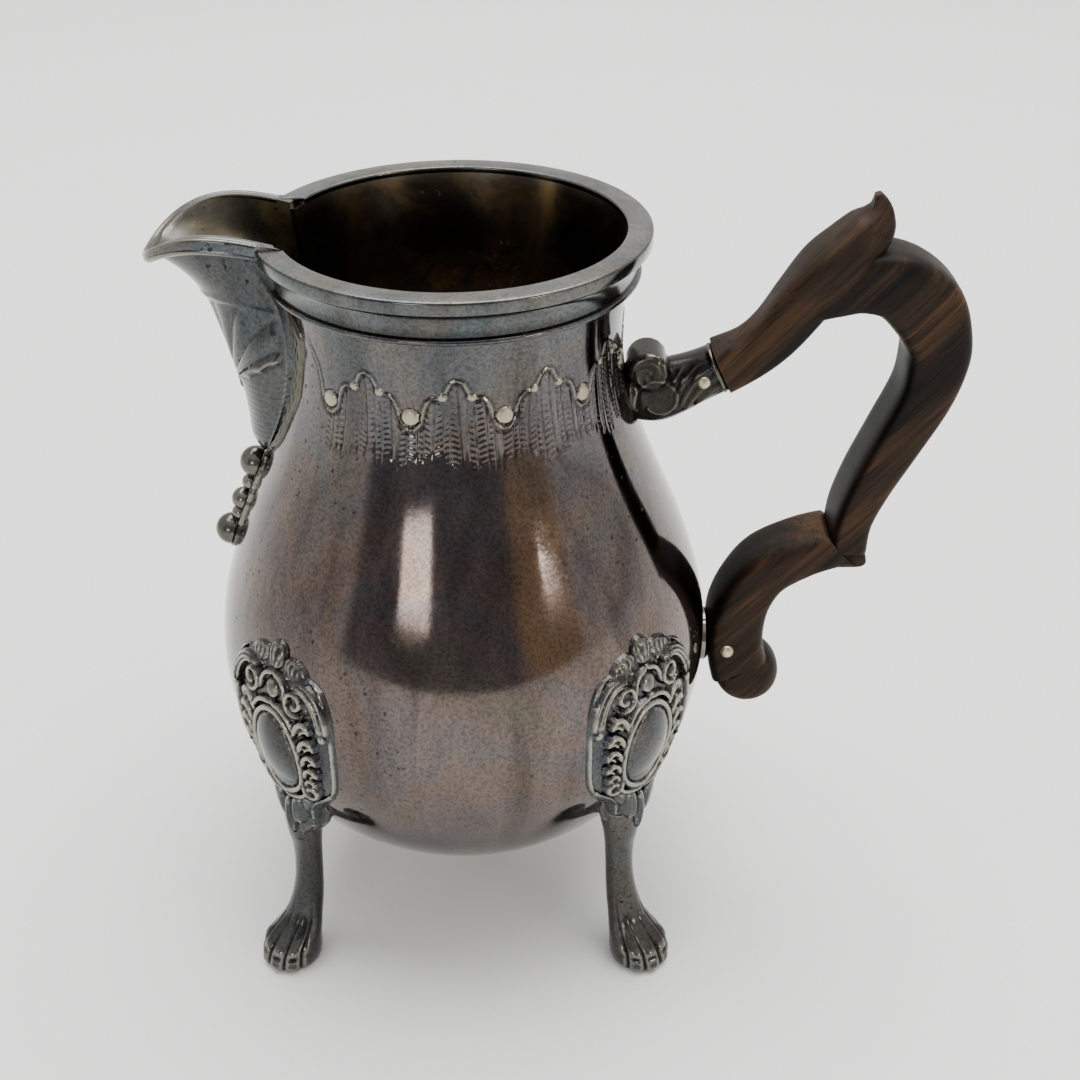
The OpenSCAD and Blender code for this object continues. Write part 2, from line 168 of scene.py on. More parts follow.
def open_pair(front, back):
    """Vertices and faces of two open grids, the second facing the other way, and where it starts."""
    start = front.shape[0] * front.shape[1]
    faces = grid_faces(*front.shape[:2], False)
    faces += [[i + start for i in f[::-1]] for f in grid_faces(*back.shape[:2], False)]
    return np.concatenate([front.reshape(-1, 3), back.reshape(-1, 3)]), faces, start


def both_ends(half):
    """A turned profile from its half, which runs from the middle out."""
    return [(r, -h) for r, h in half[::-1]] + half


def turned(profile, origin, direction, cols=48):
    """Skin turned about the line from origin along direction; profile is (radius, distance) pairs."""
    d = np.asarray(direction, float) / np.linalg.norm(direction)
    side = np.cross(d, [0.0, 0.0, 1.0] if abs(d[2]) < 0.9 else [1.0, 0.0, 0.0])
    side /= np.linalg.norm(side)
    up = np.cross(d, side)
    a = np.arange(cols) * 2 * math.pi / cols
    ring = np.cos(a)[:, None] * side + np.sin(a)[:, None] * up
    rings = [np.asarray(origin) + d * h + ring * max(r, 1e-4) for r, h in profile]
    return loft(rings)


def ellipsoid(centre, axes, bearing=0.0, rows=20, cols=28):
    """Ellipsoid with its first axis along that bearing in plan."""
    t = np.linspace(0.02, math.pi - 0.02, rows)[:, None]
    a = np.arange(cols) * 2 * math.pi / cols
    unit = xyz(np.sin(t) * np.cos(a), np.sin(t) * np.sin(a), np.cos(t))
    verts, faces = loft(turned_about_z(unit * np.asarray(axes), bearing))
    return verts + np.asarray(centre), faces


def limb_rings(path, sides, squareness):
    """Rings of a limb in the XZ plane; a station is x, z, half height, half width."""
    step = np.gradient(path[:, :2], axis=0)
    step /= np.linalg.norm(step, axis=1, keepdims=True)
    normal = np.stack([-step[:, 1], step[:, 0]], 1)
    a = np.radians(360 * (np.arange(sides) + 0.5) / sides)
    up = path[:, 2:3] * signed_pow(np.cos(a), 2 / squareness)
    across = path[:, 3:4] * signed_pow(np.sin(a), 2 / squareness)
    return xyz(path[:, 0:1] + normal[:, 0:1] * up, across, path[:, 1:2] + normal[:, 1:2] * up)


# ---- meshes ----
def vertex_places(mesh):
    """The vertices of a mesh, in millimetres about the jug's axis."""
    co = np.empty(len(mesh.vertices) * 3)
    mesh.vertices.foreach_get("co", co)
    return co.reshape(-1, 3) / MM - [AXIS_X, 0, 0]


def vertex_normals(mesh):
    normals = np.empty(len(mesh.vertices) * 3, np.float32)
    mesh.vertex_normals.foreach_get("vector", normals)
    return normals.reshape(-1, 3)


def mark(mesh, name, values):
    """Stores a value between 0 and 1 for each vertex."""
    values = np.clip(values, 0, 1).astype(np.float32)
    mesh.attributes.new(name, "FLOAT", "POINT").data.foreach_set("value", values)


def mark_wear(mesh):
    """Stores how far each vertex stands out of (above 0.5) or lies in (below 0.5) the surface round it."""
    count = len(mesh.vertices)
    co = vertex_places(mesh)
    edges = np.empty(len(mesh.edges) * 2, np.int32)
    mesh.edges.foreach_get("vertices", edges)
    edges = edges.reshape(-1, 2)
    a, b = np.concatenate([edges, edges[:, ::-1]]).T
    share = np.maximum(np.bincount(a, minlength=count), 1)

    def around(values):
        return np.bincount(a, weights=values[b], minlength=count) / share

    mean = np.stack([around(co[:, k]) for k in range(3)], 1)
    length = np.bincount(a, weights=np.sum((co[a] - co[b]) ** 2, 1), minlength=count) / share
    curve = np.clip(4 * np.sum((co - mean) * vertex_normals(mesh), 1) / np.maximum(length, 1e-4), -3, 3)
    for _ in range(WEAR_SMOOTHING):
        curve = 0.4 * curve + 0.6 * around(curve)
    mark(mesh, "wear", 0.5 + WEAR_GAIN * curve)


def new_mesh(name, skins):
    verts, faces, start = [], [], 0
    for v, f in skins:
        verts.append(np.asarray(v, float).reshape(-1, 3))
        faces += [[i + start for i in face] for face in f]
        start += len(verts[-1])
    mesh = bpy.data.meshes.new(name)
    mesh.from_pydata(((np.concatenate(verts) + [AXIS_X, 0, 0]) * MM).tolist(), [], faces)
    bm = bmesh.new()
    bm.from_mesh(mesh)
    bmesh.ops.remove_doubles(bm, verts=bm.verts, dist=2e-7)
    bmesh.ops.recalc_face_normals(bm, faces=bm.faces)
    bm.to_mesh(mesh)
    bm.free()
    return mesh


def fused(name, skins, voxel, smoothing):
    """One mesh from overlapping skins, blended where they meet."""
    body = bpy.data.objects.new(name + "_parts", new_mesh(name, skins))
    bpy.context.scene.collection.objects.link(body)
    remesh = body.modifiers.new("fuse", "REMESH")
    remesh.mode = "VOXEL"
    remesh.voxel_size = voxel * MM
    smooth = body.modifiers.new("soften", "SMOOTH")
    smooth.iterations = smoothing
    smooth.factor = 0.5
    shaped = body.evaluated_get(bpy.context.evaluated_depsgraph_get())
    mesh = bpy.data.meshes.new_from_object(shaped)
    bpy.data.objects.remove(body)
    return mesh


def reshape(mesh, move):
    """Runs move on the vertices of a mesh, in millimetres about the jug's axis, with their normals."""
    p = move(vertex_places(mesh), vertex_normals(mesh))
    mesh.vertices.foreach_set("co", ((p + [AXIS_X, 0, 0]) * MM).ravel())
    mesh.update()


def make_piece(name, mesh, material, slot, *nodes, crease=35):
    mesh.shade_smooth()
    mesh.set_sharp_from_angle(angle=math.radians(crease))
    mark_wear(mesh)
    mesh.materials.clear()
    mesh.materials.append(material)
    piece = bpy.data.objects.new(name, mesh)
    bpy.context.scene.collection.objects.link(piece)
    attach(piece, "root")
    if nodes:
        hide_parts(*nodes)


# ---- materials ----
class Nodes:
    """A node tree, with short calls that add and link nodes."""

    def __init__(self, tree):
        self.tree = tree

    def put(self, socket, value):
        if isinstance(value, bpy.types.NodeSocket):
            self.tree.links.new(value, socket)
        elif isinstance(value, tuple) and len(value) == 3 and socket.type == "RGBA":
            socket.default_value = (*value, 1)
        else:
            socket.default_value = value

    def node(self, kind, inputs, output=0, **settings):
        n = self.tree.nodes.new("ShaderNode" + kind)
        for key, value in settings.items():
            setattr(n, key, value)
        for key, value in inputs.items():
            self.put(n.inputs[key], value)
        return n.outputs[output]

    def ramp(self, fac, stops, interpolation="LINEAR"):
        n = self.tree.nodes.new("ShaderNodeValToRGB")
        self.put(n.inputs["Fac"], fac)
        elements = n.color_ramp.elements
        n.color_ramp.interpolation = interpolation
        while len(elements) < len(stops):
            elements.new(0.5)
        for element, (at, colour) in zip(elements, stops):
            element.position = at
            element.color = (*colour, 1) if isinstance(colour, tuple) else (colour, colour, colour, 1)
        return n.outputs["Color"]

    def mix(self, fac, a, b, blend="MIX"):
        n = self.tree.nodes.new("ShaderNodeMix")
        n.data_type = "RGBA"
        n.blend_type = blend
        self.put(n.inputs["Factor"], fac)
        self.put(n.inputs[6], a)
        self.put(n.inputs[7], b)
        return n.outputs[2]

    def math(self, operation, a, b=0.5, clamp=False):
        return self.node("Math", {0: a, 1: b}, operation=operation, use_clamp=clamp)

    def times(self, a, b):
        return self.math("MULTIPLY", a, b)

    def tinted(self, colour, tint, fac=1.0):
        return self.mix(fac, colour, tint, "MULTIPLY")

    def part(self, vector, axis):
        return self.node("SeparateXYZ", {0: vector}, axis)


class Shader(Nodes):
    """A new material whose surface is one Principled BSDF."""

    def __init__(self, name):
        self.material = bpy.data.materials.new(name)
        self.material.use_nodes = True
        super().__init__(self.material.node_tree)
        self.bsdf = self.tree.nodes["Principled BSDF"]
        coords = self.tree.nodes.new("ShaderNodeTexCoord")
        self.coords = coords.outputs["Object"]
        self.facing = coords.outputs["Normal"]

    def noise(self, scale, detail=4.0, rough=0.55, distort=0.0, at=None):
        return self.node("TexNoise", {"Vector": at or self.coords, "Scale": scale, "Detail": detail,
                                      "Roughness": rough, "Distortion": distort}, "Fac")

    def stretched(self, scale, rotation=(0, 0, 0), at=None):
        return self.node("Mapping", {"Vector": at or self.coords, "Scale": scale, "Rotation": rotation})

    def by_height(self, low_mm, low, high_mm, high):
        """A colour or value that changes between two heights above the table."""
        share = self.times(self.part(self.coords, "Z"), 1 / (TALLEST * MM))
        return self.ramp(share, [(low_mm / TALLEST, low), (high_mm / TALLEST, high)])

    def attribute(self, name):
        return self.node("Attribute", {}, "Fac", attribute_name=name)

    def finish(self, colour, roughness):
        self.put(self.bsdf.inputs["Base Color"], colour)
        self.put(self.bsdf.inputs["Roughness"], roughness)

    def bump(self, height, strength, distance):
        normal = self.node("Bump", {"Height": height, "Strength": strength, "Distance": distance * MM})
        self.put(self.bsdf.inputs["Normal"], normal)


# Tints of the lower and the upper parts
WARM_CAST = ((1.12, 1.02, 0.96), (0.90, 0.98, 0.98))
COOL_CAST = ((0.96, 1.0, 0.99), (0.94, 0.96, 0.93))
DARK_CAST = ((0.54, 0.53, 0.50), (0.54, 0.52, 0.48))
SPOT_COLOUR = (0.030, 0.036, 0.030)
RUBBED_COLOUR = (0.74, 0.66, 0.48)
WORN_EDGE_COLOUR = (0.30, 0.29, 0.235)
ORNAMENT_TINT = (0.33, 0.375, 0.39)


def silver_material(name, tint, wear_gain, film=(0.06, 0.13), lit_top=False, cast=WARM_CAST, channel=0.45):
    """Tarnished silver: clouds of purple, brown, blue and olive, dark specks, and lighter worn edges.

    tint and wear_gain are for worn edges, film is the range of roughness, lit_top paints a highlight
    on the faces that look up, cast tints the lower and the upper parts, and channel is how bright the
    inside is near the top."""
    s = Shader(name)
    clouds = s.noise(30, 3, 0.5, 0.8)
    patina = s.ramp(clouds, [
        (0.30, (0.125, 0.128, 0.140)), (0.41, (0.175, 0.145, 0.150)), (0.49, (0.205, 0.160, 0.138)),
        (0.56, (0.160, 0.158, 0.170)), (0.62, (0.205, 0.165, 0.160)), (0.72, (0.185, 0.175, 0.140))])
    patina = s.mix(0.35, patina, (0.172, 0.155, 0.150))
    patina = s.tinted(patina, s.by_height(75, cast[0], 107.5, cast[1]))
    streaks = s.noise(2.2, 5, 0.6, 0.8, s.stretched((60, 60, 9), (0.35, 0.2, 0)))
    patina = s.tinted(patina, s.ramp(streaks, [(0.38, 0.72), (0.62, 1.25)]), 0.8)
    specks = s.ramp(s.noise(2100, 2, 0.6), [(0.37, 0.55), (0.50, 1.0), (0.70, 1.35)])
    patina = s.tinted(patina, specks, 0.6)
    # round corroded spots, in patches
    cells = s.node("TexVoronoi", {"Vector": s.coords, "Scale": 620.0, "Randomness": 1.0}, "Distance")
    spots = s.ramp(s.math("ADD", cells, s.noise(1500, 2)), [(0.56, 1.0), (0.66, 0.0)])
    spotted = s.times(spots, s.ramp(s.noise(42, 3, 0.6), [(0.50, 0.0), (0.62, 0.85)]))
    patina = s.mix(spotted, patina, SPOT_COLOUR)
    rough = s.ramp(s.noise(120, 4, 0.6), [(0.35, film[0]), (0.65, film[1])])
    # rests of gilding inside, and bosses rubbed pale
    gilding = s.ramp(s.noise(110, 4, 0.65, 0.6), [
        (0.36, (0.25, 0.22, 0.19)), (0.50, (0.42, 0.35, 0.28)), (0.60, (0.85, 0.62, 0.34)),
        (0.72, (0.52, 0.45, 0.38))])
    inside = s.attribute("inside")
    patina = s.mix(inside, patina, s.tinted(gilding, s.by_height(87.5, 1.0, 105, channel)))
    rubbed = s.attribute("rubbed")
    patina = s.mix(rubbed, patina, RUBBED_COLOUR)
    dulled = s.math("MAXIMUM", rubbed, s.times(inside, 0.4))
    rough = s.math("ADD", rough, s.times(dulled, 0.3))
    # painted highlight: faces that look up are made lighter and a little rougher
    if lit_top:
        top = s.ramp(s.part(s.facing, "Z"), [(0.80, 0.0), (0.96, 1.0)])
        patina = s.mix(top, patina, s.tinted(patina, (1.8, 1.72, 1.6)))
        rough = s.math("ADD", rough, s.times(top, 0.16))
    wear = s.attribute("wear")
    patina = s.tinted(patina, s.ramp(wear, [(0.20, 0.22), (0.46, 1.0)]))
    worn = s.ramp(wear, [(0.64, 0.0), (0.88, wear_gain)])
    patina = s.mix(worn, s.tinted(patina, tint), WORN_EDGE_COLOUR)
    s.finish(patina, s.math("ADD", rough, s.times(spotted, 0.35), True))
    # deep inside, the film is thick enough to hide some of the metal
    bowl = s.by_height(82.5, 0.5, 102.5, 0.0)
    s.put(s.bsdf.inputs["Metallic"], s.math("SUBTRACT", 1.0, s.times(inside, bowl)))
    s.bump(s.math("ADD", s.times(s.noise(1500, 3, 0.6), 0.10), s.noise(60, 2, 0.5)), 0.35, 0.08)
    return s.material


def pin_material():
    s = Shader("pin_metal_finish")
    tone = s.ramp(s.noise(900, 3), [(0.35, (0.34, 0.29, 0.19)), (0.65, (0.62, 0.57, 0.44))])
    s.finish(tone, s.ramp(s.noise(1500, 2), [(0.3, 0.28), (0.7, 0.48)]))
    s.bsdf.inputs["Metallic"].default_value = 1.0
    s.bump(s.noise(2600, 2), 0.4, 0.05)
    return s.material


GRAIN_TILT = math.radians(48)


def rosewood_material():
    """Oiled rosewood: black and brown bands along the grain, fine dark pores, and painted shade on the sides
    facing the jug.
    """
    s = Shader("rosewood_finish")
    along = s.stretched((1, 1, 1), (0, GRAIN_TILT, 0))
    bands = s.noise(1.0, 4, 0.58, 0.45, s.stretched((9, 75, 185), at=along))
    colour = s.ramp(bands, [
        (0.32, (0.006, 0.005, 0.004)), (0.45, (0.012, 0.008, 0.006)), (0.53, (0.026, 0.016, 0.010)),
        (0.61, (0.058, 0.030, 0.015)), (0.72, (0.020, 0.013, 0.009))])
    pores = s.noise(1.0, 2, 0.6, 0.0, s.stretched((110, 900, 2600), at=along))
    colour = s.tinted(colour, s.ramp(pores, [(0.34, 0.45), (0.47, 1.0), (0.70, 1.15)]), 0.8)
    edge = s.ramp(s.attribute("wear"), [(0.62, 0.0), (0.95, 0.30)])
    colour = s.mix(edge, colour, (0.085, 0.055, 0.040))
    # painted shade: the sides that face the jug, below the arm, are darkened as if shadowed by the body
    shade_facing_jug = s.ramp(s.times(s.part(s.facing, "X"), -1.0), [(0.30, 1.0), (0.72, 0.22)])
    colour = s.tinted(colour, s.mix(s.by_height(97.5, 0.0, 107.5, 1.0), shade_facing_jug, (1.0, 1.0, 1.0)))
    s.finish(colour, s.ramp(bands, [(0.3, 0.42), (0.7, 0.55)]))
    s.bsdf.inputs["Specular IOR Level"].default_value = 0.08
    s.bump(s.math("ADD", pores, s.times(bands, 0.5)), 0.35, 0.07)
    return s.material


silver = silver_material("tarnished_silver_finish", (0.50, 0.505, 0.51), 0.45)
ornament_silver = silver_material("chased_silver_finish", ORNAMENT_TINT, 0.85, (0.16, 0.30),
                                  cast=COOL_CAST)
spout_silver = silver_material("spout_silver_finish", ORNAMENT_TINT, 0.40, (0.13, 0.26),
                               cast=COOL_CAST, channel=1.0)
leg_silver = silver_material("leg_silver_finish", (0.36, 0.38, 0.37), 0.45, (0.14, 0.26), cast=COOL_CAST)
socket_silver = silver_material("socket_silver_finish", (0.31, 0.32, 0.31), 0.24, (0.18, 0.32),
                                cast=DARK_CAST)
# worn edges, and a painted highlight on the faces that look up, for the rim and the lip strip
worn_silver = silver_material("worn_top_lit_silver_finish", (0.47, 0.50, 0.51), 0.40, (0.11, 0.22), lit_top=True)
pin_metal = pin_material()
rosewood = rosewood_material()


# ---- body ----
def body_r(z, inset=0.0):
    """Radius of the body at height z: half an ellipse, a cosine shoulder, and a flare."""
    z = np.asarray(z, float)
    r, rn, rm = WAIST_R - inset, NECK_R - inset, MOUTH_R - inset
    fall = np.clip((WAIST_Z - z) / (WAIST_Z - BOWL_Z - inset), -1, 1)
    bowl = r * np.sqrt(1 - fall ** 2)
    shoulder = rn + (r - rn) * (1 + np.cos(math.pi * (z - WAIST_Z) / (NECK_Z - WAIST_Z))) / 2
    flare = rn + (rm - rn) * (np.maximum(z - NECK_Z, 0) / (NECK_TOP_Z - NECK_Z)) ** 1.5
    return np.where(z < WAIST_Z, bowl, np.where(z < NECK_Z, shoulder, flare))


BOSS_FROM_HANDLE = 12
BOSS_STEP = 30
BOSS_Z = 100.0
BOSS_R = 1.25
DOT_FROM_PEAK = 4.7
DOT_Z = 103.1
DOT_R = 0.62
LAST_BOSS = 132
BAND_END = 142
BAND_LOW_Z = 90.4
BAND_TOP_Z = 107.5
STAMP_W = 1.22
# Half of one scallop of the chased line: degrees from its peak, height
SCALLOP = [(0, 105.7), (2, 105.3), (3.2, 104.3), (4.2, 103.3), (5.6, 103.0), (8, 102.9), (9.6, 102.3),
           (10.7, 101.2), (11.3, 100), (12.2, 98.9), (13.5, 98.25), (15, 98.0)]
# The line's last stretch, from the last boss up to the leaf border
TIE = [(132, 98.0), (133.5, 98.25), (134.8, 98.9), (135.7, 100), (136.3, 101.6), (137.8, 104.2),
       (140, 106), (142, 107)]


def scallop_line():
    """The chased line as (bearing from the handle, height) points."""
    half = np.array(SCALLOP)
    line = [(u * BOSS_FROM_HANDLE / 15, z) for u, z in SCALLOP]
    for peak in range(BOSS_FROM_HANDLE + BOSS_STEP // 2, LAST_BOSS, BOSS_STEP):
        line += [(peak - u, z) for u, z in half[::-1]] + [(peak + u, z) for u, z in half[1:]]
    return np.array(line + TIE)


def from_bosses(bearing):
    """Degrees from the nearest boss, in the scallops' own even spacing."""
    near = np.abs((bearing - BOSS_FROM_HANDLE + BOSS_STEP / 2) % BOSS_STEP - BOSS_STEP / 2)
    near = np.where(bearing < BOSS_FROM_HANDLE, (BOSS_FROM_HANDLE - bearing) * 1.25, near)
    return np.where(bearing > LAST_BOSS, bearing - LAST_BOSS, near)


def boss_reach(bearing, z):
    """Distance from the nearest boss and from the nearest dot, as shares of their radii."""
    reach = body_r(BOSS_Z) * math.pi / 180
    near = from_bosses(bearing)
    boss = np.hypot(near * reach, z - BOSS_Z) / BOSS_R
    dot = np.hypot((15 - near - DOT_FROM_PEAK) * reach, z - DOT_Z) / DOT_R
    return boss, dot


def scatter(value, seed):
    """A repeatable value between 0 and 1 for each whole number."""
    large = np.sin(value * 12.9898 + seed * 78.233) * 43758.5453
    return large - np.floor(large)


def chased_band(az, z):
    """Relief of the chased band round the neck at bearing az (degrees) and height z."""
    turn = (az + 180) % 360 - 180
    bearing = np.abs(turn)
    line = scallop_line()
    reach = body_r(BOSS_Z) * math.pi / 180
    dense = np.linspace(0, 1, len(line) * 9)
    at = np.linspace(0, 1, len(line))
    lx, lz = np.interp(dense, at, line[:, 0]) * reach, np.interp(dense, at, line[:, 1])
    far = np.empty_like(z)
    for i in range(len(z)):
        far[i] = np.sqrt((bearing[i][:, None] * reach - lx) ** 2 + (z[i][:, None] - lz) ** 2).min(1)
    below = smoothstep(-0.2, 0.2, np.interp(bearing, line[:, 0], line[:, 1]) - z)
    relief = 0.24 * bell(far, 0.20)
    # punched crescents in upright rows of uneven width, thinning out at a ragged lower edge
    x = turn * reach + 0.22 * np.sin(turn * reach * 1.9) + 0.05 * (z - 97) * np.sin(turn * 0.21)
    row = np.floor(x / STAMP_W)
    xf = x / STAMP_W - row - 0.5
    low_edge = 92.0 + 1.9 * scatter(row, 1) + 0.6 * np.sin(row * 0.7)
    zone = below * smoothstep(-0.4, 1.5, z - low_edge) * smoothstep(0.2, 0.6, far)
    zone = zone * (bearing < LAST_BOSS + 1.5)
    pitch = 0.74 + 0.16 * scatter(row, 2)
    tilt = np.where(scatter(row, 7) < 0.5, -0.8, 0.8)
    phase = z / pitch + 2.4 * xf ** 2 + tilt * xf + scatter(row, 3)
    pulse = 0.5 + 0.5 * wave(phase)
    plain = scatter(row, 4) < 0.14
    stamp = np.where(plain, 0.2, 0.62 * pulse * np.clip(1 - np.abs(2 * xf) ** 3, 0, 1))
    stamp = np.maximum(stamp, (1.0 + 0.7 * scatter(row, 6)) * bell(np.abs(xf) - 0.5, 0.15))
    relief = relief - zone * (0.02 + (0.11 + 0.06 * scatter(row, 5)) * stamp)
    # deeper ground just under the line, then the bosses and dots
    relief = relief - 0.10 * below * bell(far - 0.42, 0.28) * (bearing < BAND_END - 1)
    for rise, out in zip((0.42, 0.24), boss_reach(bearing, z)):
        dome = rise * np.clip(1 - out ** 4, 0, 1) ** 0.5
        relief = np.where(out < 1.2, dome - 0.06 * (out > 1), relief)
    return relief * (bearing < BAND_END)


def rubbed_bosses(p):
    """Where the bosses and dots of the band are rubbed pale."""
    r = np.hypot(p[:, 0], p[:, 1])
    bearing = np.abs(np.degrees(np.arctan2(p[:, 1], p[:, 0])))
    boss, dot = boss_reach(bearing, p[:, 2])
    outside = (r > body_r(p[:, 2]) - 0.4) & (bearing < BAND_END - 1)
    line = scallop_line()
    raised = smoothstep(0.10, 0.22, r - body_r(p[:, 2])) * (p[:, 2] > 97) * (p[:, 2] < 108)
    near_line = np.abs(np.interp(bearing, line[:, 0], line[:, 1]) - p[:, 2]) < 2.5
    pale = np.maximum(smoothstep(1.05, 0.85, boss), 0.7 * smoothstep(1.1, 0.8, dot))
    return outside * np.maximum(pale, 0.45 * raised * near_line)


BODY_COLS = 760
MOUTH_LOW_R = 7.0
MOUTH_LOW_Z = 94.0
MOUTH_TOP_HALF_W = 8.6


def mouth_half_width(z):
    """Half width of the opening into the spout at height z."""
    straight = MOUTH_LOW_R + (MOUTH_TOP_HALF_W - MOUTH_LOW_R) * (z - MOUTH_LOW_Z) / (RIM_Z + 2 - MOUTH_LOW_Z)
    bottom = np.sqrt(np.clip(MOUTH_LOW_R ** 2 - (MOUTH_LOW_Z - z) ** 2, 0, None))
    return np.where(z > MOUTH_LOW_Z, straight, bottom)


def body_skin(heights, radii):
    """Rows of the body, open where the spout's mouth is. Columns start and end at the spout."""
    gap = np.degrees(np.arcsin(np.clip(mouth_half_width(heights) / np.maximum(radii, 9), 0, 1)))[:, None]
    turn = np.linspace(0, 360, BODY_COLS + 1)[None, :]
    near = np.clip(1 - np.minimum(turn, 360 - turn) / 75, 0, 1) ** 2
    az = 180 + turn + gap * near * np.where(turn < 180, 1, -1)
    return az, np.broadcast_to(heights[:, None], az.shape)


def build_body():
    mouth_z = MOUTH_LOW_Z - MOUTH_LOW_R
    upper = np.concatenate([np.linspace(mouth_z, 90.5, 6)[:-1], np.arange(90.5, 106.7, 0.2),
                            np.linspace(107.2, NECK_TOP_Z, 10)])
    skins = []
    for inset in (0.0, WALL):
        a = np.radians(np.linspace(0, 90, 46 if inset == 0 else 24)[:-1])
        low_z = WAIST_Z - (WAIST_Z - BOWL_Z - inset) * np.cos(a)
        low_r = (WAIST_R - inset) * np.sin(a)
        mid_z = np.linspace(WAIST_Z, mouth_z, 30 if inset == 0 else 18)[:-1]
        z = np.concatenate([low_z, mid_z, upper])
        r = np.concatenate([low_r, body_r(mid_z, inset), body_r(upper, inset)])
        az, zz = body_skin(z, r)
        rr = np.broadcast_to(r[:, None], az.shape).copy()
        if inset == 0:
            band = (z > BAND_LOW_Z) & (z < BAND_TOP_Z)
            rr[band] += chased_band(az[band], zz[band])
        skins.append(polar(rr, az, zz))
    outer, inner = skins
    cols = BODY_COLS + 1
    verts, faces, start = open_pair(outer, inner)
    top_out, top_in = (len(outer) - 1) * cols, start + (len(inner) - 1) * cols
    faces += [[top_out + c, top_out + c + 1, top_in + c + 1, top_in + c] for c in range(cols - 1)]
    for k in range(len(upper) - 1):
        o, n = (len(outer) - len(upper) + k) * cols, start + (len(inner) - len(upper) + k) * cols
        for c in (0, cols - 1):
            faces.append([o + c, o + cols + c, n + cols + c, n + c])
    mesh = new_mesh("body", [(verts, faces)])
    p = vertex_places(mesh)
    r, z = np.hypot(p[:, 0], p[:, 1]), p[:, 2]
    mark(mesh, "rubbed", rubbed_bosses(p))
    mark(mesh, "inside", (r < body_r(z) - 0.5) | (r < 12) & (z > BOWL_Z + 0.5) & (z < BOWL_Z + 4))
    make_piece("jug_body", mesh, silver, "tarnished_silver", "body_shell", crease=50)


build_body()

# ---- rim ----
RIM_GAP_HALF_W = 10.75
RIM_COLS = 300


def rim_profile():
    """Section of the rim as (radius, height) points: rounded top, band, hollow, bead, foot and back."""
    corner = [(math.sin(a), math.cos(a)) for a in np.radians([0, 30, 60, 90])]
    inner, outer = MOUTH_R - WALL, RIM_R
    top = [(inner, NECK_TOP_Z)] + [(inner + 0.3 - 0.3 * c, RIM_Z - 0.3 + 0.3 * s) for s, c in corner]
    top += [(outer - 0.35 + 0.35 * s, RIM_Z - 0.35 + 0.35 * c) for s, c in corner]
    band_z = RIM_Z - 1.75
    step = [(outer, band_z), (outer - 0.12, band_z - 0.2), (outer - 0.4, band_z - 0.28)]
    hollow_r, hollow_z = 26.9, RIM_LOW_Z + 1.25
    hollow = [(hollow_r + (outer - 0.45 - hollow_r) * (1 - math.sin(a)),
               band_z - 0.35 - (band_z - 0.35 - hollow_z) * (1 - math.cos(a)))
              for a in np.radians(np.arange(0, 91, 9))]
    bead = [(27.05 + 0.45 * math.cos(a), RIM_LOW_Z + 0.65 + 0.45 * math.sin(a))
            for a in np.radians(np.arange(75, -91, -15))]
    neck_r = float(body_r(RIM_LOW_Z))
    foot = [(neck_r + 0.45, RIM_LOW_Z + 0.12), (neck_r - 0.05, RIM_LOW_Z)]
    back = [(float(body_r(z)) - 0.05, z) for z in np.linspace(RIM_LOW_Z, NECK_TOP_Z, 6)[1:]]
    return np.array(top + step + hollow + bead + foot + back)


def build_rim():
    p = rim_profile()
    gap = np.degrees(np.arcsin(RIM_GAP_HALF_W / p[:, 0]))
    rings = [polar(p[:, 0], 180 + gap + (360 - 2 * gap) * t, p[:, 1]) for t in np.linspace(0, 1, RIM_COLS)]
    mesh = new_mesh("rim", [loft(rings)])
    make_piece("rim_ring", mesh, worn_silver, "worn_silver", "rim_moulding", crease=32)


build_rim()

# ---- spout ----
LIP_HALF_W = 9.7
SPOUT_HALF_W = 11.4
SPOUT_BROAD_Z = 103.0
BEAK_DROOP = 3.2
STRIP_T = 1.0
STRIP_H = 2.6
STRIP_TAPER = 0.9
STRIP_END_X = -22.9
KEEL_LOW_X = 32.2
KEEL_SWELL = 7.6
KEEL_TURN_Z = 88.0


def flank_w(z):
    """Half width of the spout where it meets the body, at height z."""
    z = np.asarray(z, float)
    upper = (1 - np.cos(math.pi * (RIM_Z - z) / (RIM_Z - SPOUT_BROAD_Z))) / 2
    upper = LIP_HALF_W + (SPOUT_HALF_W - LIP_HALF_W) * upper
    drop = np.clip((SPOUT_BROAD_Z - z) / (SPOUT_BROAD_Z - SPOUT_LOW_Z), 0, 1)
    return np.where(z > SPOUT_BROAD_Z, upper, SPOUT_HALF_W * np.sqrt(1 - drop ** 1.6))


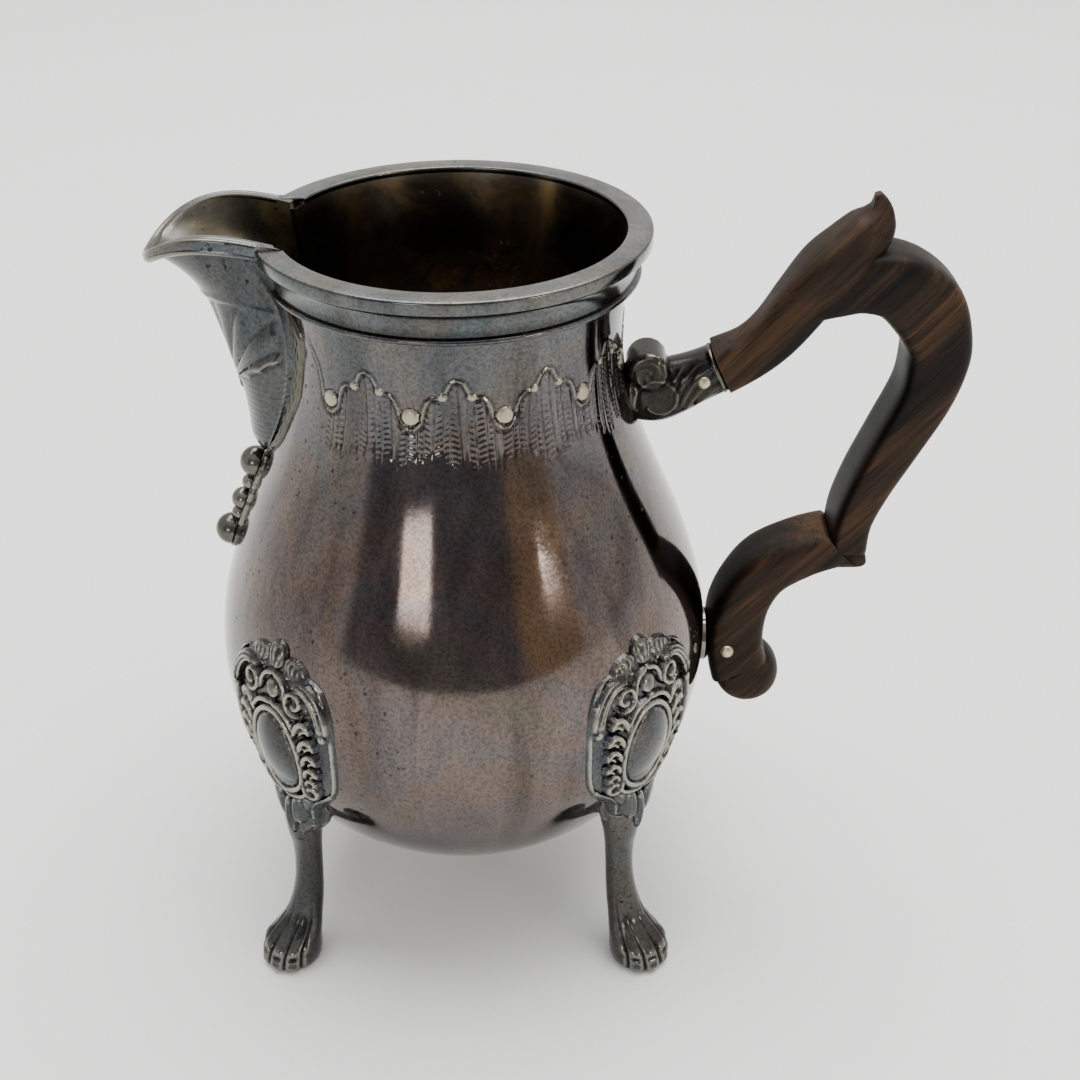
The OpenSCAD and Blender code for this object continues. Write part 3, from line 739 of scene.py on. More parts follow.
def spout_points(s, phi, inset):
    """The spout: s runs from the lip (0) to its lower end (1), phi from flank (-90) to flank (90)."""
    s, phi = np.broadcast_arrays(s, np.radians(phi))
    zf = RIM_Z + (SPOUT_LOW_Z - RIM_Z) * s
    w = np.maximum(0.02, flank_w(zf) - inset)
    wall_r = np.where(s == 0, MOUTH_R, body_r(np.minimum(zf, NECK_TOP_Z)) + 0.02)
    root = np.sqrt(wall_r ** 2 - w ** 2)
    keel_z = RIM_Z - BEAK_DROOP + (SPOUT_LOW_Z - RIM_Z + BEAK_DROOP) * s ** 1.05
    rise = np.maximum(0, keel_z - KEEL_TURN_Z) / (RIM_Z - BEAK_DROOP - KEEL_TURN_Z)
    beak = SPOUT_REACH - STRIP_T - KEEL_LOW_X - KEEL_SWELL
    keel_x = KEEL_LOW_X + KEEL_SWELL * rise ** 1.8 + beak * rise ** 10
    # the lower end closes round; sections are boxy at the lip and rounder below
    rounding = np.sqrt(np.clip(1 - (np.maximum(0, s - 0.86) / 0.14) ** 2, 0, 1))
    reach = np.maximum(root + 0.3 - 0.2 * inset, root + (keel_x - root) * rounding - inset)
    curve = np.where(s < 0.25, 3.1 + (1.75 - 3.1) * s / 0.25, 1.75 + 0.5 * (s - 0.25) / 0.75)
    u = np.clip(np.cos(phi), 0, 1) ** (2 / curve)
    v = signed_pow(np.sin(phi), 2 / curve)
    lift = 1.4 * np.sin(math.pi * u) * (1 - s) ** 3
    fall = (keel_z - zf) * u ** (6 - 4 * np.minimum(1, 3 * s))
    return xyz(-(root + (reach - root) * u), w * v, zf + lift + fall)


SHELL_TOP_S = 0.16
NIB_S = 0.64


def spout_relief(s, phi):
    """Chasing on the spout: a shell fanning up from a nib on the keel, over a smooth lower end."""
    t = phi / 90
    out = np.abs(t)
    across, up = 12.5 * out, 36.7 * (NIB_S - s)
    span = np.hypot(across, up)
    fan = np.degrees(np.arctan2(across, up)) + 0.5 * span
    low_edge = NIB_S + 0.015 - 0.22 * out ** 1.3 - 0.012 * np.abs(np.sin(6 * math.pi * out))
    field = smoothstep(SHELL_TOP_S, SHELL_TOP_S + 0.12, s + 0.06 * out) * smoothstep(0, 0.02, low_edge - s)
    field = field * (1 - smoothstep(0.80, 0.88, out))
    strength = smoothstep(0.5, 5, span) * smoothstep(SHELL_TOP_S - 0.02, SHELL_TOP_S + 0.30, s)
    flute = np.abs(np.sin(math.pi * (fan + 5 * np.sin(span / 6)) / 12.5)) ** 0.75
    relief = field * (0.16 + strength * (0.62 * flute - 0.34))
    sweep = bell(s - SHELL_TOP_S - 0.02 - 0.10 * out ** 0.7, 0.016) * smoothstep(0.95, 0.6, out)
    relief = relief + 0.22 * sweep
    relief = relief + 0.15 * bell(low_edge - s - 0.012, 0.014) * smoothstep(0.88, 0.78, out)
    relief = relief + 0.16 * bell(out - 0.90, 0.022) * smoothstep(0.08, 0.2, s)
    rib = bell(t, 0.045) * smoothstep(0.10, 0.25, s) * smoothstep(0, 0.02, NIB_S + 0.02 - s)
    ripples = 0.018 * wave(s / 0.028) * smoothstep(0.0, 0.04, s - low_edge)
    nib = np.hypot(t / 0.10, (s - NIB_S - 0.028) / 0.03)
    return relief + 0.30 * rib + ripples + 0.75 * np.sqrt(np.clip(1 - nib ** 2, 0, 1))


def lies_on(p, skin):
    """1 for the points that are vertices of the skin, 0 for the rest."""
    known = {tuple(v) for v in np.round(skin.reshape(-1, 3), 3).tolist()}
    return np.array([tuple(v) in known for v in np.round(p, 3).tolist()], float)


def build_spout():
    s = np.linspace(0, 1, 150)[:, None]
    phi = np.linspace(-90, 90, 161)[None, :]
    outer = spout_points(s, phi, 0.0)
    inner = spout_points(s, phi, 1.0)
    normal = surface_normals(outer)
    if normal[75, 80, 0] > 0:
        normal = -normal
    quiet = smoothstep(0, 0.06, s) * smoothstep(0, 0.08, 1 - s) * smoothstep(0, 0.06, 1 - np.abs(phi) / 90)
    outer = outer + normal * (spout_relief(s, phi) * quiet)[..., None]
    mesh = new_mesh("spout", [between(outer, inner)])
    mark(mesh, "inside", lies_on(vertex_places(mesh), inner))
    make_piece("spout_beak", mesh, spout_silver, "tarnished_silver", "spout_shell", crease=50)


def build_lip_strip():
    """Band round the lip: it covers the shell's edge and runs into the rim's cut ends."""
    phi = np.linspace(-88, 88, 181)
    p = spout_points(0.0, phi, 0.0)
    inner = spout_points(0.0, phi, 1.05)
    run = spout_points(0.0, np.minimum(90, phi + 1), 0.0) - spout_points(0.0, np.maximum(-90, phi - 1), 0.0)
    run[:, 2] = 0
    run /= np.linalg.norm(run, axis=1, keepdims=True)
    out = np.stack([-np.abs(run[:, 1]), np.abs(run[:, 0]) * np.sign(phi), 0 * phi], 1)
    height = STRIP_H - STRIP_TAPER * np.cos(np.radians(phi)) ** 2
    # share of the shell's edge (0 inner, 1 outer) or distance past it, and height
    over = [(0.0, -0.5), (0.0, -0.12), (0.12, 0.04), (0.35, 0.09), (0.7, 0.09), (0.95, 0.02)]
    edge = [(0.12, -0.04), (0.28, 0.05)]
    edge += [(STRIP_T - 0.4 + 0.4 * math.sin(a), -0.34 + 0.4 * math.cos(a))
             for a in np.radians([0, 25, 50, 75, 90])]
    low = [(STRIP_T, 1.15), (STRIP_T - 0.12, 0.95), (STRIP_T - 0.05, 0.75), (STRIP_T - 0.12, 0.5),
           (STRIP_T - 0.35, 0.2), (0.4, 0.05), (0.02, 0.0)]

    def section(i, shell_in, base):
        ring = [shell_in * (1 - t) + base * t + [0, 0, h] for t, h in over]
        ring += [base + out[i] * d + [0, 0, h] for d, h in edge]
        return ring + [base + out[i] * d + [0, 0, h - height[i]] for d, h in low]

    rings = [section(i, inner[i], p[i]) for i in range(len(phi))]
    # one more section at each end, inside the rim's cut end
    ends = []
    for i in (0, -1):
        side = np.sign(phi[i])
        corner = np.array([STRIP_END_X, side * (RIM_GAP_HALF_W - 0.02), RIM_Z])
        ring = np.array(section(i, corner, p[i]))
        ring[:, 1] = side * np.maximum(np.abs(ring[:, 1]), RIM_GAP_HALF_W - 0.05)
        ring[len(over):, 0] -= 0.3
        ends.append(ring)
    mesh = new_mesh("strip", [loft([ends[0], *rings, ends[1]])])
    make_piece("lip_moulding", mesh, worn_silver, "worn_silver", "spout_lip_strip", crease=32)


def on_spout_side(w, z, rise):
    """Points on the body's spout side: w to the side, at height z, and rise above the surface."""
    r = body_r(z) + rise
    az = np.arcsin(np.clip(w / r, -0.98, 0.98))
    return xyz(-r * np.cos(az), r * np.sin(az), z)


BORDER_W = 1.6
BORDER_TOP_Z = RIM_LOW_Z - 0.2
BORDER_WIDTHS = [(80, 0.95), (92, 0.95), (99, 1), (103, 1.2), (106.4, 1.5), (107.6, 1.4), (109.4, 0.7),
                 (111.4, 0.35)]


def build_leaf_border():
    """Leaf border round the spout, grooved along its length."""
    q = np.linspace(-1, 1, 361)[:, None]
    across = np.linspace(0, 1, 19)[None, :]
    z0 = SPOUT_LOW_Z - 0.35 + (BORDER_TOP_Z - SPOUT_LOW_Z + 0.35) * np.abs(q) ** 1.25
    w0 = flank_w(np.maximum(z0, SPOUT_LOW_Z + 0.01)) + 0.05
    under = np.cos(math.pi / 2 * np.minimum(1, np.abs(q) * 2.2))
    heights, widths = np.array(BORDER_WIDTHS).T
    width = BORDER_W * (np.interp(z0, heights, widths) + 0.16 * wave(3.5 * q))
    w = w0 + width * np.sqrt(1 - under ** 2) * across
    z = z0 - width * 0.45 * under * across
    groove = np.abs(np.sin(3 * math.pi * across)) ** 0.6
    crown = np.clip(np.minimum(across, 1 - across) / 0.09, 0, 1) ** 0.5
    rise = (0.26 + 0.34 * groove + 0.05 * np.sin(2 * math.pi * (14 * np.abs(q) + across))) * crown
    w = w * np.where(q < 0, -1, 1)
    mesh = new_mesh("border", [between(on_spout_side(w, z, rise), on_spout_side(w, z, -0.12))])
    make_piece("spout_leaves", mesh, socket_silver, "tarnished_silver", "spout_leaf_border", crease=45)


# Each bead of the drop: height, how far its centre stands off the body, radius
BEADS = [(79.4, 1.3, 2.55), (75.7, 1.0, 1.35), (72.6, 1.1, 1.9), (70.0, 0.9, 1.3), (67.0, 1.3, 2.6)]


def bead_profile(radius, stand_off):
    """A bead with a thin collar where it meets its backing."""
    base = [(radius * 0.5, -stand_off - 0.5), (radius * 1.02, -stand_off - 0.5),
            (radius * 1.06, -stand_off + 0.45), (radius * 0.92, -stand_off + 0.62)]
    start = math.asin(min(0.95, (stand_off - 0.7) / radius))
    dome = [(radius * math.cos(a), radius * math.sin(a)) for a in np.linspace(-start, math.radians(88), 22)]
    return base + dome


def build_bead_drop():
    skins = []
    for z, off, radius in BEADS:
        r = float(body_r(z))
        slope = float(body_r(z - 0.5) - body_r(z + 0.5))
        skins.append(turned(bead_profile(radius, off), (-(r + off), 0, z), (-1, 0, slope), 56))
    z = np.linspace(64.1, 81.3, 90)[:, None]
    across = np.linspace(-1, 1, 25)[None, :]
    half = np.interp(z, [64.1, 65, 67, 69.5, 72.5, 76, 79, 80.8, 81.3],
                     [0.9, 1.8, 2.3, 1.7, 2.1, 2.1, 3.0, 2.1, 1.0])
    half = half * (1 + 0.06 * wave(z / 2.4))
    w = half * across
    edge = np.clip((1 - np.abs(across)) / 0.14, 0, 1) ** 0.5
    rise = (0.55 + 0.22 * np.abs(np.sin(2.5 * math.pi * across))) * edge
    skins.append(between(on_spout_side(w, z, rise), on_spout_side(w, z, -0.15)))
    make_piece("spout_beads", new_mesh("drop", skins), leg_silver, "tarnished_silver", "bead_drop", crease=40)


build_spout()
build_lip_strip()
build_leaf_border()
build_bead_drop()

# ---- cartouches ----
CART_TURN_Z = 40.0
CART_LOW_R = 38.9
LEG_MIDDLE_R = 36.2
# Half outline of a cartouche's ground: distance across, height
SHIELD = [
    (0, 61.4), (2.4, 61.3), (5.0, 60.9), (7.6, 60.3), (9.4, 59.2), (10.5, 57.4), (11.3, 55.2), (11.8, 52.6),
    (12.0, 49.0), (11.9, 45.4), (11.5, 42.6), (10.8, 40.4), (9.7, 38.7), (8.2, 37.2), (6.6, 36.0),
    (5.2, 34.4), (4.5, 32.0), (4.0, 29.6), (2.9, 28.0), (1.6, 26.6), (0.4, 25.6)]


def cart_r(z):
    """Radius of a cartouche's ground: it follows the body, then runs straight down to the leg."""
    climb = (z - LEG_TOP_Z) / (CART_TURN_Z - LEG_TOP_Z)
    straight = CART_LOW_R - 0.6 + (body_r(CART_TURN_Z) - CART_LOW_R + 0.6) * climb
    return np.where(z > CART_TURN_Z, body_r(z), straight)


def dome(u, z, centre, axes, height, tilt=0.0, fullness=0.5):
    a = math.radians(tilt)
    du, dz = u - centre[0], z - centre[1]
    along, across = du * math.cos(a) + dz * math.sin(a), dz * math.cos(a) - du * math.sin(a)
    e = (along / axes[0]) ** 2 + (across / axes[1]) ** 2
    return height * np.clip(1 - e, 0, 1) ** fullness


def stroke(u, z, points, half_w, height, offset=0.0):
    """A rounded ridge along a smooth line of (across, height) points, thinning at both ends."""
    line = smooth_curve(points, 8)
    step = np.gradient(line, axis=0)
    step /= np.maximum(np.linalg.norm(step, axis=1, keepdims=True), 1e-6)
    line = line + offset * np.stack([-step[:, 1], step[:, 0]], 1)
    ends = np.linspace(0, 1, len(line))
    width = half_w * (0.45 + 0.55 * np.clip(np.minimum(ends, 1 - ends) / 0.15, 0, 1))
    best = np.zeros_like(u)
    for (px, pz), w in zip(line, width):
        near = (np.abs(u - px) < w) & (np.abs(z - pz) < w)
        d = ((u[near] - px) ** 2 + (z[near] - pz) ** 2) / w ** 2
        best[near] = np.maximum(best[near], np.sqrt(np.clip(1 - d, 0, 1)) * (0.55 + 0.45 * w / half_w))
    return best * height


def spiral(centre, r0, r1, start, turns):
    t = np.linspace(0, 1, int(14 * abs(turns)) + 2)
    a = np.radians(start + 360 * turns * t)
    r = r0 + (r1 - r0) * t
    return [(centre[0] + ri * math.cos(ai), centre[1] + ri * math.sin(ai)) for ri, ai in zip(r, a)]


BUD = (0, 61.9)
CREST_LEAF = (4.1, 60.7)
CREST_LEAF_TILT = -24
EYE = (5.1, 56.3)
BOSS = (0.0, 44.8)
ARM = [(4.0, 58.5), (5.6, 59.1), (7.2, 58.7), (8.6, 57.5), (9.6, 55.9), (10.2, 54.2), (10.4, 52.8)]
# Ridges: points along them, half width, rise, level they start from
RIDGES = [
    # lip along the outer edge, and along the lower one
    ([(6.6, 60.9), (8.5, 59.6), (10.0, 57.5), (10.9, 55.0), (11.4, 51.5), (11.5, 47), (11.2, 43.6),
      (10.5, 41.2), (9.6, 39.6)], 0.42, 0.5, 0.22),
    ([(10.2, 40.4), (9.0, 38.8), (7.5, 37.4), (6.0, 36.0), (4.8, 34.0), (4.2, 31.6)], 0.5, 0.6, 0.35),
    # the arm's volute, the crest's stems and the brow over the boss
    (spiral(EYE, 0.6, 2.2, -150, 1.3), 0.42, 0.75, 0.75),
    ([(2.6, 59.4), (4.6, 60.0), (6.9, 60.2)], 0.45, 0.5, 0.4),
    ([(0.0, 59.2), (1.7, 58.6), (2.7, 57.2), (2.9, 55.4)], 0.5, 0.7, 0.5),
    ([(0.0, 54.1), (1.9, 53.9), (3.6, 52.9), (4.9, 51.0)], 0.5, 0.7, 0.6),
    # small volutes and the brow below the boss
    (spiral((6.1, 39.0), 0.5, 1.65, 200, -1.2), 0.4, 0.65, 0.6),
    ([(0.0, 36.3), (2.2, 36.5), (4.2, 37.3), (5.2, 38.6)], 0.5, 0.9, 0.5)]
# Domes: centre, half axes, rise, level they start from, tilt in degrees, fullness
DOMES = [
    (BOSS, (4.75, 7.3), 1.25, 0.75, 0, 0.6), (EYE, (2.3, 2.3), 0.5, 0.3, 0, 0.5),
    ((10.35, 52.0), (0.85, 0.95), 0.9, 0.4, 0, 0.5), (BUD, (1.75, 2.2), 0.8, 0.4, 0, 0.5),
    (CREST_LEAF, (2.6, 1.5), 0.62, 0.35, CREST_LEAF_TILT, 0.5), ((0, 56.6), (1.5, 1.7), 0.8, 0.5, 0, 0.5),
    ((6.1, 39.0), (1.7, 1.7), 0.4, 0.3, 0, 0.5), ((2.1, 33.0), (1.7, 3.4), 0.95, 0.5, -14, 0.5),
    ((4.1, 35.0), (1.3, 1.9), 0.6, 0.4, -30, 0.5), ((0.0, 30.9), (1.1, 4.2), 1.1, 0.5, 0, 0.5)]
# Leaves stacked down the side of the boss: distance across, height of the top, size
SIDE_LEAVES = [(5.8, 53.0, 1.0), (6.6, 50.1, 0.95), (6.9, 47.3, 0.9), (6.7, 44.5, 0.85), (6.3, 42.0, 0.7)]
# Fields of fine veins on the bud, the crest's leaves and the leaves over the leg: centre, half axes, count
VEINS = [((0, 61.8), (1.8, 2.2), 3.0), ((4.1, 60.0), (2.6, 3.0), 5.0), ((0, 30), (5.5, 7.0), 7.0)]


def cartouche_relief(across, z):
    """Height of one cartouche's ornament above the body, mirrored about its middle."""
    u = np.abs(across)
    wing = np.clip((12.3 - u) / 4.5, 0, 1) * np.clip((u - 6) / 3, 0, 1)
    h = 0.36 - 0.30 * np.sin(math.pi * wing) + 0 * z
    ridges = [(*ridge, 0.0) for ridge in RIDGES]
    ridges += [(ARM, 0.4, rise, 0.55, offset) for offset, rise in ((-0.58, 0.85), (0.0, 1.05), (0.58, 0.8))]
    for x, top, size in SIDE_LEAVES:
        blade = [(x - size, top - 2.6 * size), (x - 0.5 * size, top - size), (x + 0.5 * size, top),
                 (x + 1.6 * size, top - 0.2), (x + 2.1 * size, top - 1.2 * size)]
        ridges.append((blade, 0.62 * size, 0.8, 0.45, 0.0))
        ridges.append(([(px + 0.5, pz - 1.1) for px, pz in blade[1:4]], 0.4 * size, 0.6, 0.35, 0.0))
    shapes = [(stroke(u, z, points, w, rise, offset), base) for points, w, rise, base, offset in ridges]
    shapes += [(dome(u, z, at, axes, rise, tilt, full), base) for at, axes, rise, base, tilt, full in DOMES]
    ring = np.hypot(u / 5.35, (z - BOSS[1]) / 8.05)
    shapes.append((0.75 * np.sqrt(np.clip(1 - ((ring - 1) / 0.085) ** 2, 0, 1)), 0.5))
    for shape, base in shapes:
        h = np.maximum(h, np.where(shape > 0, base + shape, 0))
    for centre, axes, count in VEINS:
        inside = smoothstep(0, 0.35, 1 - np.hypot((u - centre[0]) / axes[0], (z - centre[1]) / axes[1]))
        fan = np.arctan2(u - centre[0] + 0.01, np.abs(z - centre[1] + axes[1]) + 0.6)
        h = h + 0.055 * inside * wave(count * fan) * (h > 0.8)
    # the ground between leaf and lip is softly hammered
    return h + 0.035 * np.sin(u * 5.1 + 1.3 * np.sin(z * 3.3)) * np.sin(z * 4.7 + across) * (h < 1.2)


def build_cartouche(name, azimuth):
    z = np.arange(LEG_TOP_Z, CREST_Z + 0.75, 0.2)[:, None]
    su, sz = np.array(SHIELD[::-1]).T
    shield_w = np.interp(z, sz, su)
    crest = z > 60
    half = np.maximum(shield_w + 0.7, 7.8 * crest)
    across = np.linspace(-1, 1, 131)[None, :] * half
    z = np.broadcast_to(z, across.shape)
    h = cartouche_relief(across, z)
    u = np.abs(across)
    inside = np.interp(z, sz, su) - u + np.where(z > SHIELD[0][1], -9, 0)
    bud = dome(u, z, BUD, (1.9, 2.35), 1)
    lobes = np.maximum(bud, dome(u, z, CREST_LEAF, (2.75, 1.65), 1, CREST_LEAF_TILT))
    edge = np.maximum(inside, lobes * 1.5 - 0.2)
    h = -0.5 + (h + 0.5) * smoothstep(-0.3, 0.35, edge)
    # below the bowl's turn the plate rounds back like the top of the leg
    middle = np.maximum(body_r(z), LEG_MIDDLE_R)
    rounded = np.sqrt(np.clip(1 - (u / (half * 1.002)) ** 2.4, 0, 1))
    r = middle + (cart_r(z) - middle) * rounded + h * np.where(z > CART_TURN_Z, 1, 0.3 + 0.7 * rounded)
    a = azimuth + CARTOUCHE_TURN
    front = polar(r, a + np.degrees(np.arcsin(across / r)), z)
    coarse = np.linspace(0, across.shape[1] - 1, 9).astype(int)
    back_r = middle[:, coarse] - 0.55 - 2.4 * rounded[:, coarse] * smoothstep(33, 30.5, z[:, coarse])
    back = polar(back_r, a + np.degrees(np.arcsin(np.clip(across[:, coarse] / back_r, -1, 1))), z[:, coarse])
    rows, cols = across.shape
    verts, faces, start = open_pair(front, back)
    for r0 in range(rows - 1):
        for c, b in ((0, 0), (cols - 1, len(coarse) - 1)):
            o, n = r0 * cols + c, start + r0 * len(coarse) + b
            faces.append([o, n, n + len(coarse), o + cols])
    for r0 in (0, rows - 1):
        front_row = [r0 * cols + c for c in range(cols)]
        faces.append(front_row + [start + r0 * len(coarse) + c for c in range(len(coarse) - 1, -1, -1)])
    mesh = new_mesh(name, [(verts, faces)])
    make_piece("ornament_" + name, mesh, ornament_silver, "tarnished_silver", "cartouche_" + name, crease=60)


# ---- legs ----
# Stations down a leg: distance from the axis, height, half depth, half width
LEG_STATIONS = [
    (36.2, 31.0, 3.0, 3.7), (36.2, 28.6, 2.9, 3.6), (36.3, 25.6, 2.65, 3.0), (36.2, 22.4, 2.3, 2.5),
    (36.25, 18.5, 2.2, 2.3), (36.6, 14.5, 2.3, 2.4), (37.3, 11.0, 2.6, 2.7), (38.3, 8.2, 3.0, 3.15),
    (39.6, 6.2, 3.8, 3.9), (40.8, 4.4, 4.6, 4.5), (41.3, 2.6, 5.0, 4.75), (41.4, 1.1, 4.9, 4.6),
    (41.2, 0.25, 4.4, 4.1), (41.1, 0.0, 3.9, 3.6)]
TOE_STEP = 36


def leg_mesh():
    """A leg at azimuth 0: a smooth shank whose flutes run down into four knuckled toes."""
    path = smooth_curve(LEG_STATIONS, 12)
    x, z, depth, width = (path[:, k:k + 1] for k in range(4))
    bearing = np.linspace(-180, 180, 193)[None, :-1]
    a = np.radians(bearing)
    # toes lie at 18 and 54 degrees either side of the front
    toe = np.cos(math.pi * bearing / TOE_STEP) ** 2
    groove = np.cos(math.pi * bearing / TOE_STEP) ** 14
    front = smoothstep(96, 74, np.abs(bearing))
    depth_of_groove = np.interp(z, [0, 0.6, 2.5, 5, 7, 9.5, 12.5],
                                [0.03, 0.05, 0.075, 0.07, 0.055, 0.035, 0.0])
    swell = 1 - front * depth_of_groove * groove
    knuckle = 0.06 * bell(z - 4.6, 0.8) - 0.05 * bell(z - 3.3, 0.4) - 0.035 * bell(z - 6.4, 0.6)
    nail = 0.035 * bell(z - 1.3, 0.6)
    swell = swell + front * (1 - toe) * (knuckle + nail)
    out = x + depth * signed_pow(np.cos(a), 0.95) * swell
    across = width * signed_pow(np.sin(a), 0.95) * swell
    return new_mesh("leg", [loft(xyz(out, across, np.maximum(z, 0)))])


leg = leg_mesh()
for foot, bearing in FEET.items():
    build_cartouche(foot, bearing)
    this_leg = leg.copy()
    reshape(this_leg, lambda p, n, b=bearing: turned_about_z(p, b))
    make_piece("paw_" + foot, this_leg, leg_silver, "tarnished_silver", "leg_" + foot, crease=60)
bpy.data.meshes.remove(leg)

# ---- handle socket ----
SOCKET_END = (40.0, 96.1)
SOCKET_SLOPE = math.radians(25)
SOCKET_R = 3.4
ROLL = (28.9, 96.3)
KNUCKLE = (30.6, 91.9)


def along_socket(distance, across=0.0, rise=0.0):
    """A point given along the socket's own line, back from its end face."""
    c, s = math.cos(SOCKET_SLOPE), math.sin(SOCKET_SLOPE)
    return (SOCKET_END[0] + distance * c - rise * s, across, SOCKET_END[1] + distance * s + rise * c)


def about(x, z, centre):
    """Distance and angle from a point given in X and Z."""
    dx, dz = x - centre[0], z - centre[1]
    return np.hypot(dx, dz), np.arctan2(dz, dx)


def cut_flat(verts, point, normal):
    """Moves the vertices beyond a plane back onto it; the plane is given in X and Z."""
    n = np.array([normal[0], 0, normal[1]]) / math.hypot(*normal)
    over = np.maximum((verts - [point[0], 0, point[1]]) @ n, 0)
    return verts - over[:, None] * n


SOCKET_BODY = [(26.6, 91.6, 3.6, 3.2), (28.2, 91.6, 4.3, 3.7), (30.6, 92.0, 4.7, 3.9), (33.4, 93.0, 4.4, 3.8),
               (36.4, 94.3, 3.9, 3.7), (39.2, 95.6, 3.7, 3.65), (41.5, 96.7, 3.7, 3.65)]


def build_socket():
    drum = both_ends([(3.1, 2.9), (3.0, 3.3), (2.6, 3.7), (2.0, 3.9), (0.4, 3.95)])
    root = [(2.0, 0), (4.0, 0.1), (4.3, 0.7), (4.1, 1.5), (3.5, 2.1), (3.2, 3.2)]
    verts, faces = loft(limb_rings(smooth_curve(SOCKET_BODY, 8), 64, 2.5))
    slope = (math.cos(SOCKET_SLOPE), math.sin(SOCKET_SLOPE))
    skins = [
        turned(root, (25.55, 0, 92.4), (1, 0, 0)),
        turned(drum, (ROLL[0], 0, ROLL[1]), (0, 1, 0), 64),
        (cut_flat(verts, SOCKET_END, slope), faces),
        ellipsoid((32.0, 0, 95.4), (2.6, 2.6, 1.9)),
    ]
    mesh = fused("socket", skins, 0.16, 4)

    def carve(p, n):
        """A leaf over the roll, a curl on the knuckle's side and flutes along the arm."""
        x, y, z = p.T
        side = smoothstep(2.2, 3.2, np.abs(y))
        radius, angle = about(x, z, KNUCKLE)
        curl = bell(radius - 2.0 - 0.3 * np.mod(angle + 2.6, 2 * math.pi), 0.33)
        cut = 0.12 * curl * side
        radius, angle = about(x, z, ROLL)
        lines = wave(radius / 1.5 - angle / 3)
        cut += 0.04 * lines * side * smoothstep(3.1, 2.6, radius)
        back = (x - SOCKET_END[0]) * slope[0] + (z - SOCKET_END[1]) * slope[1]
        rise = (z - SOCKET_END[1]) * slope[0] - (x - SOCKET_END[0]) * slope[1]
        leaf = smoothstep(-8.5, -6.5, back) * smoothstep(0.4, 1.4, -back)
        cut += 0.055 * leaf * wave(rise / 1.7 + 0.04 * back ** 2) * side
        cut += 0.18 * bell(back + 0.55, 0.3)
        return p + n * cut[:, None]

    reshape(mesh, carve)
    make_piece("socket_casting", mesh, socket_silver, "tarnished_silver", "handle_socket", crease=60)


build_socket()

# ---- wooden handle ----
HALF_W = HANDLE_W / 2
# Stations along the wood: X, Z, half height, half width
ARM_STATIONS = [
    (37.4, 94.9, 4, 4), (40.3, 96.24, 4, 4), (44.7, 98.7, 3.6, 4.1), (48.1, 102, 3.7, 4.3),
    (51.4, 106.8, 4, 4.5), (54.6, 111.6, 3.9, HALF_W), (57.6, 115.1, 3.3, HALF_W), (60.6, 118.2, 3.1, 4),
    (61.5, 120.8, 1.8, 2.6), (60.9, 123.2, 0.5, 0.8)]
GRIP_STATIONS = [
    (51, 106.2, 2.6, 4), (55.2, 109, 3.8, HALF_W), (59.8, 110.6, 4.6, HALF_W), (65, 110, 5.2, HALF_W),
    (69.55, 106.4, 5.6, HALF_W), (72.0, 101.2, 5, HALF_W), (72.15, 97, 4.7, HALF_W), (71, 91.6, 4.2, HALF_W),
    (67.7, 83.9, 3.8, HALF_W), (64.5, 76.5, 3.4, HALF_W), (62.6, 70.5, 3.1, HALF_W),
    (62.2, 65.2, 3.1, HALF_W)]
SCROLL_STATIONS = [
    (63.6, 65.1, 2.9, HALF_W), (61.4, 65.1, 3.0, HALF_W), (59.6, 64.9, 3.2, HALF_W),
    (55.2, 63.4, 3.5, HALF_W), (49.8, 60.2, 3.9, HALF_W), (46.9, 55.8, 4.2, HALF_W),
    (45.5, 51, 4.6, HALF_W), (45.4, 46, 4.7, HALF_W), (46.2, 41.6, 4.9, HALF_W), (47.0, 39.4, 4.9, HALF_W)]
# Where the scroll is cut off: over the grip's lower end, and over its own rolled end
SCROLL_TOP_CUT = ((60.6, 65.7), (0.725, 0.688))
SCROLL_LOW_CUT = ((47.6, 41.6), (0.43, -0.90))
HEEL = [(60, 66.2), (62.5, 67.0), (64.5, 67.2), (64.7, 65.6), (65.1, 64.2), (65.25, 63.3), (65.05, 62.75),
        (64.5, 62.4), (63.6, 62.3), (61, 62.25), (58.5, 62.2)]
SCROLL_END = (48.0, 38.9)
SCROLL_END_R = 5.4
PEG_Z = 46.0
PEG_SEAT_X = 41.1


def carved_limb(stations, squareness, carve=None):
    rings = limb_rings(smooth_curve(stations, 9), 72, squareness)
    if carve is not None:
        rings = carve(rings)
    return loft(rings)


def leaf_carving(rings):
    """Cuts a rim line along both edges of the thumb-piece's sides."""
    rows, sides = rings.shape[:2]
    along = np.linspace(0, 1, rows)[:, None]
    a = np.radians(360 * (np.arange(sides) + 0.5) / sides)[None, :]
    line = bell(np.abs(np.cos(a)) - 0.72 - 0.1 * along, 0.07) * (np.abs(np.sin(a)) > 0.3)
    cut = 0.28 * line * smoothstep(0.42, 0.6, along) * smoothstep(0, 0.06, 1 - along)
    rings = rings.copy()
    rings[..., 1] -= np.sign(rings[..., 1]) * cut
    return rings


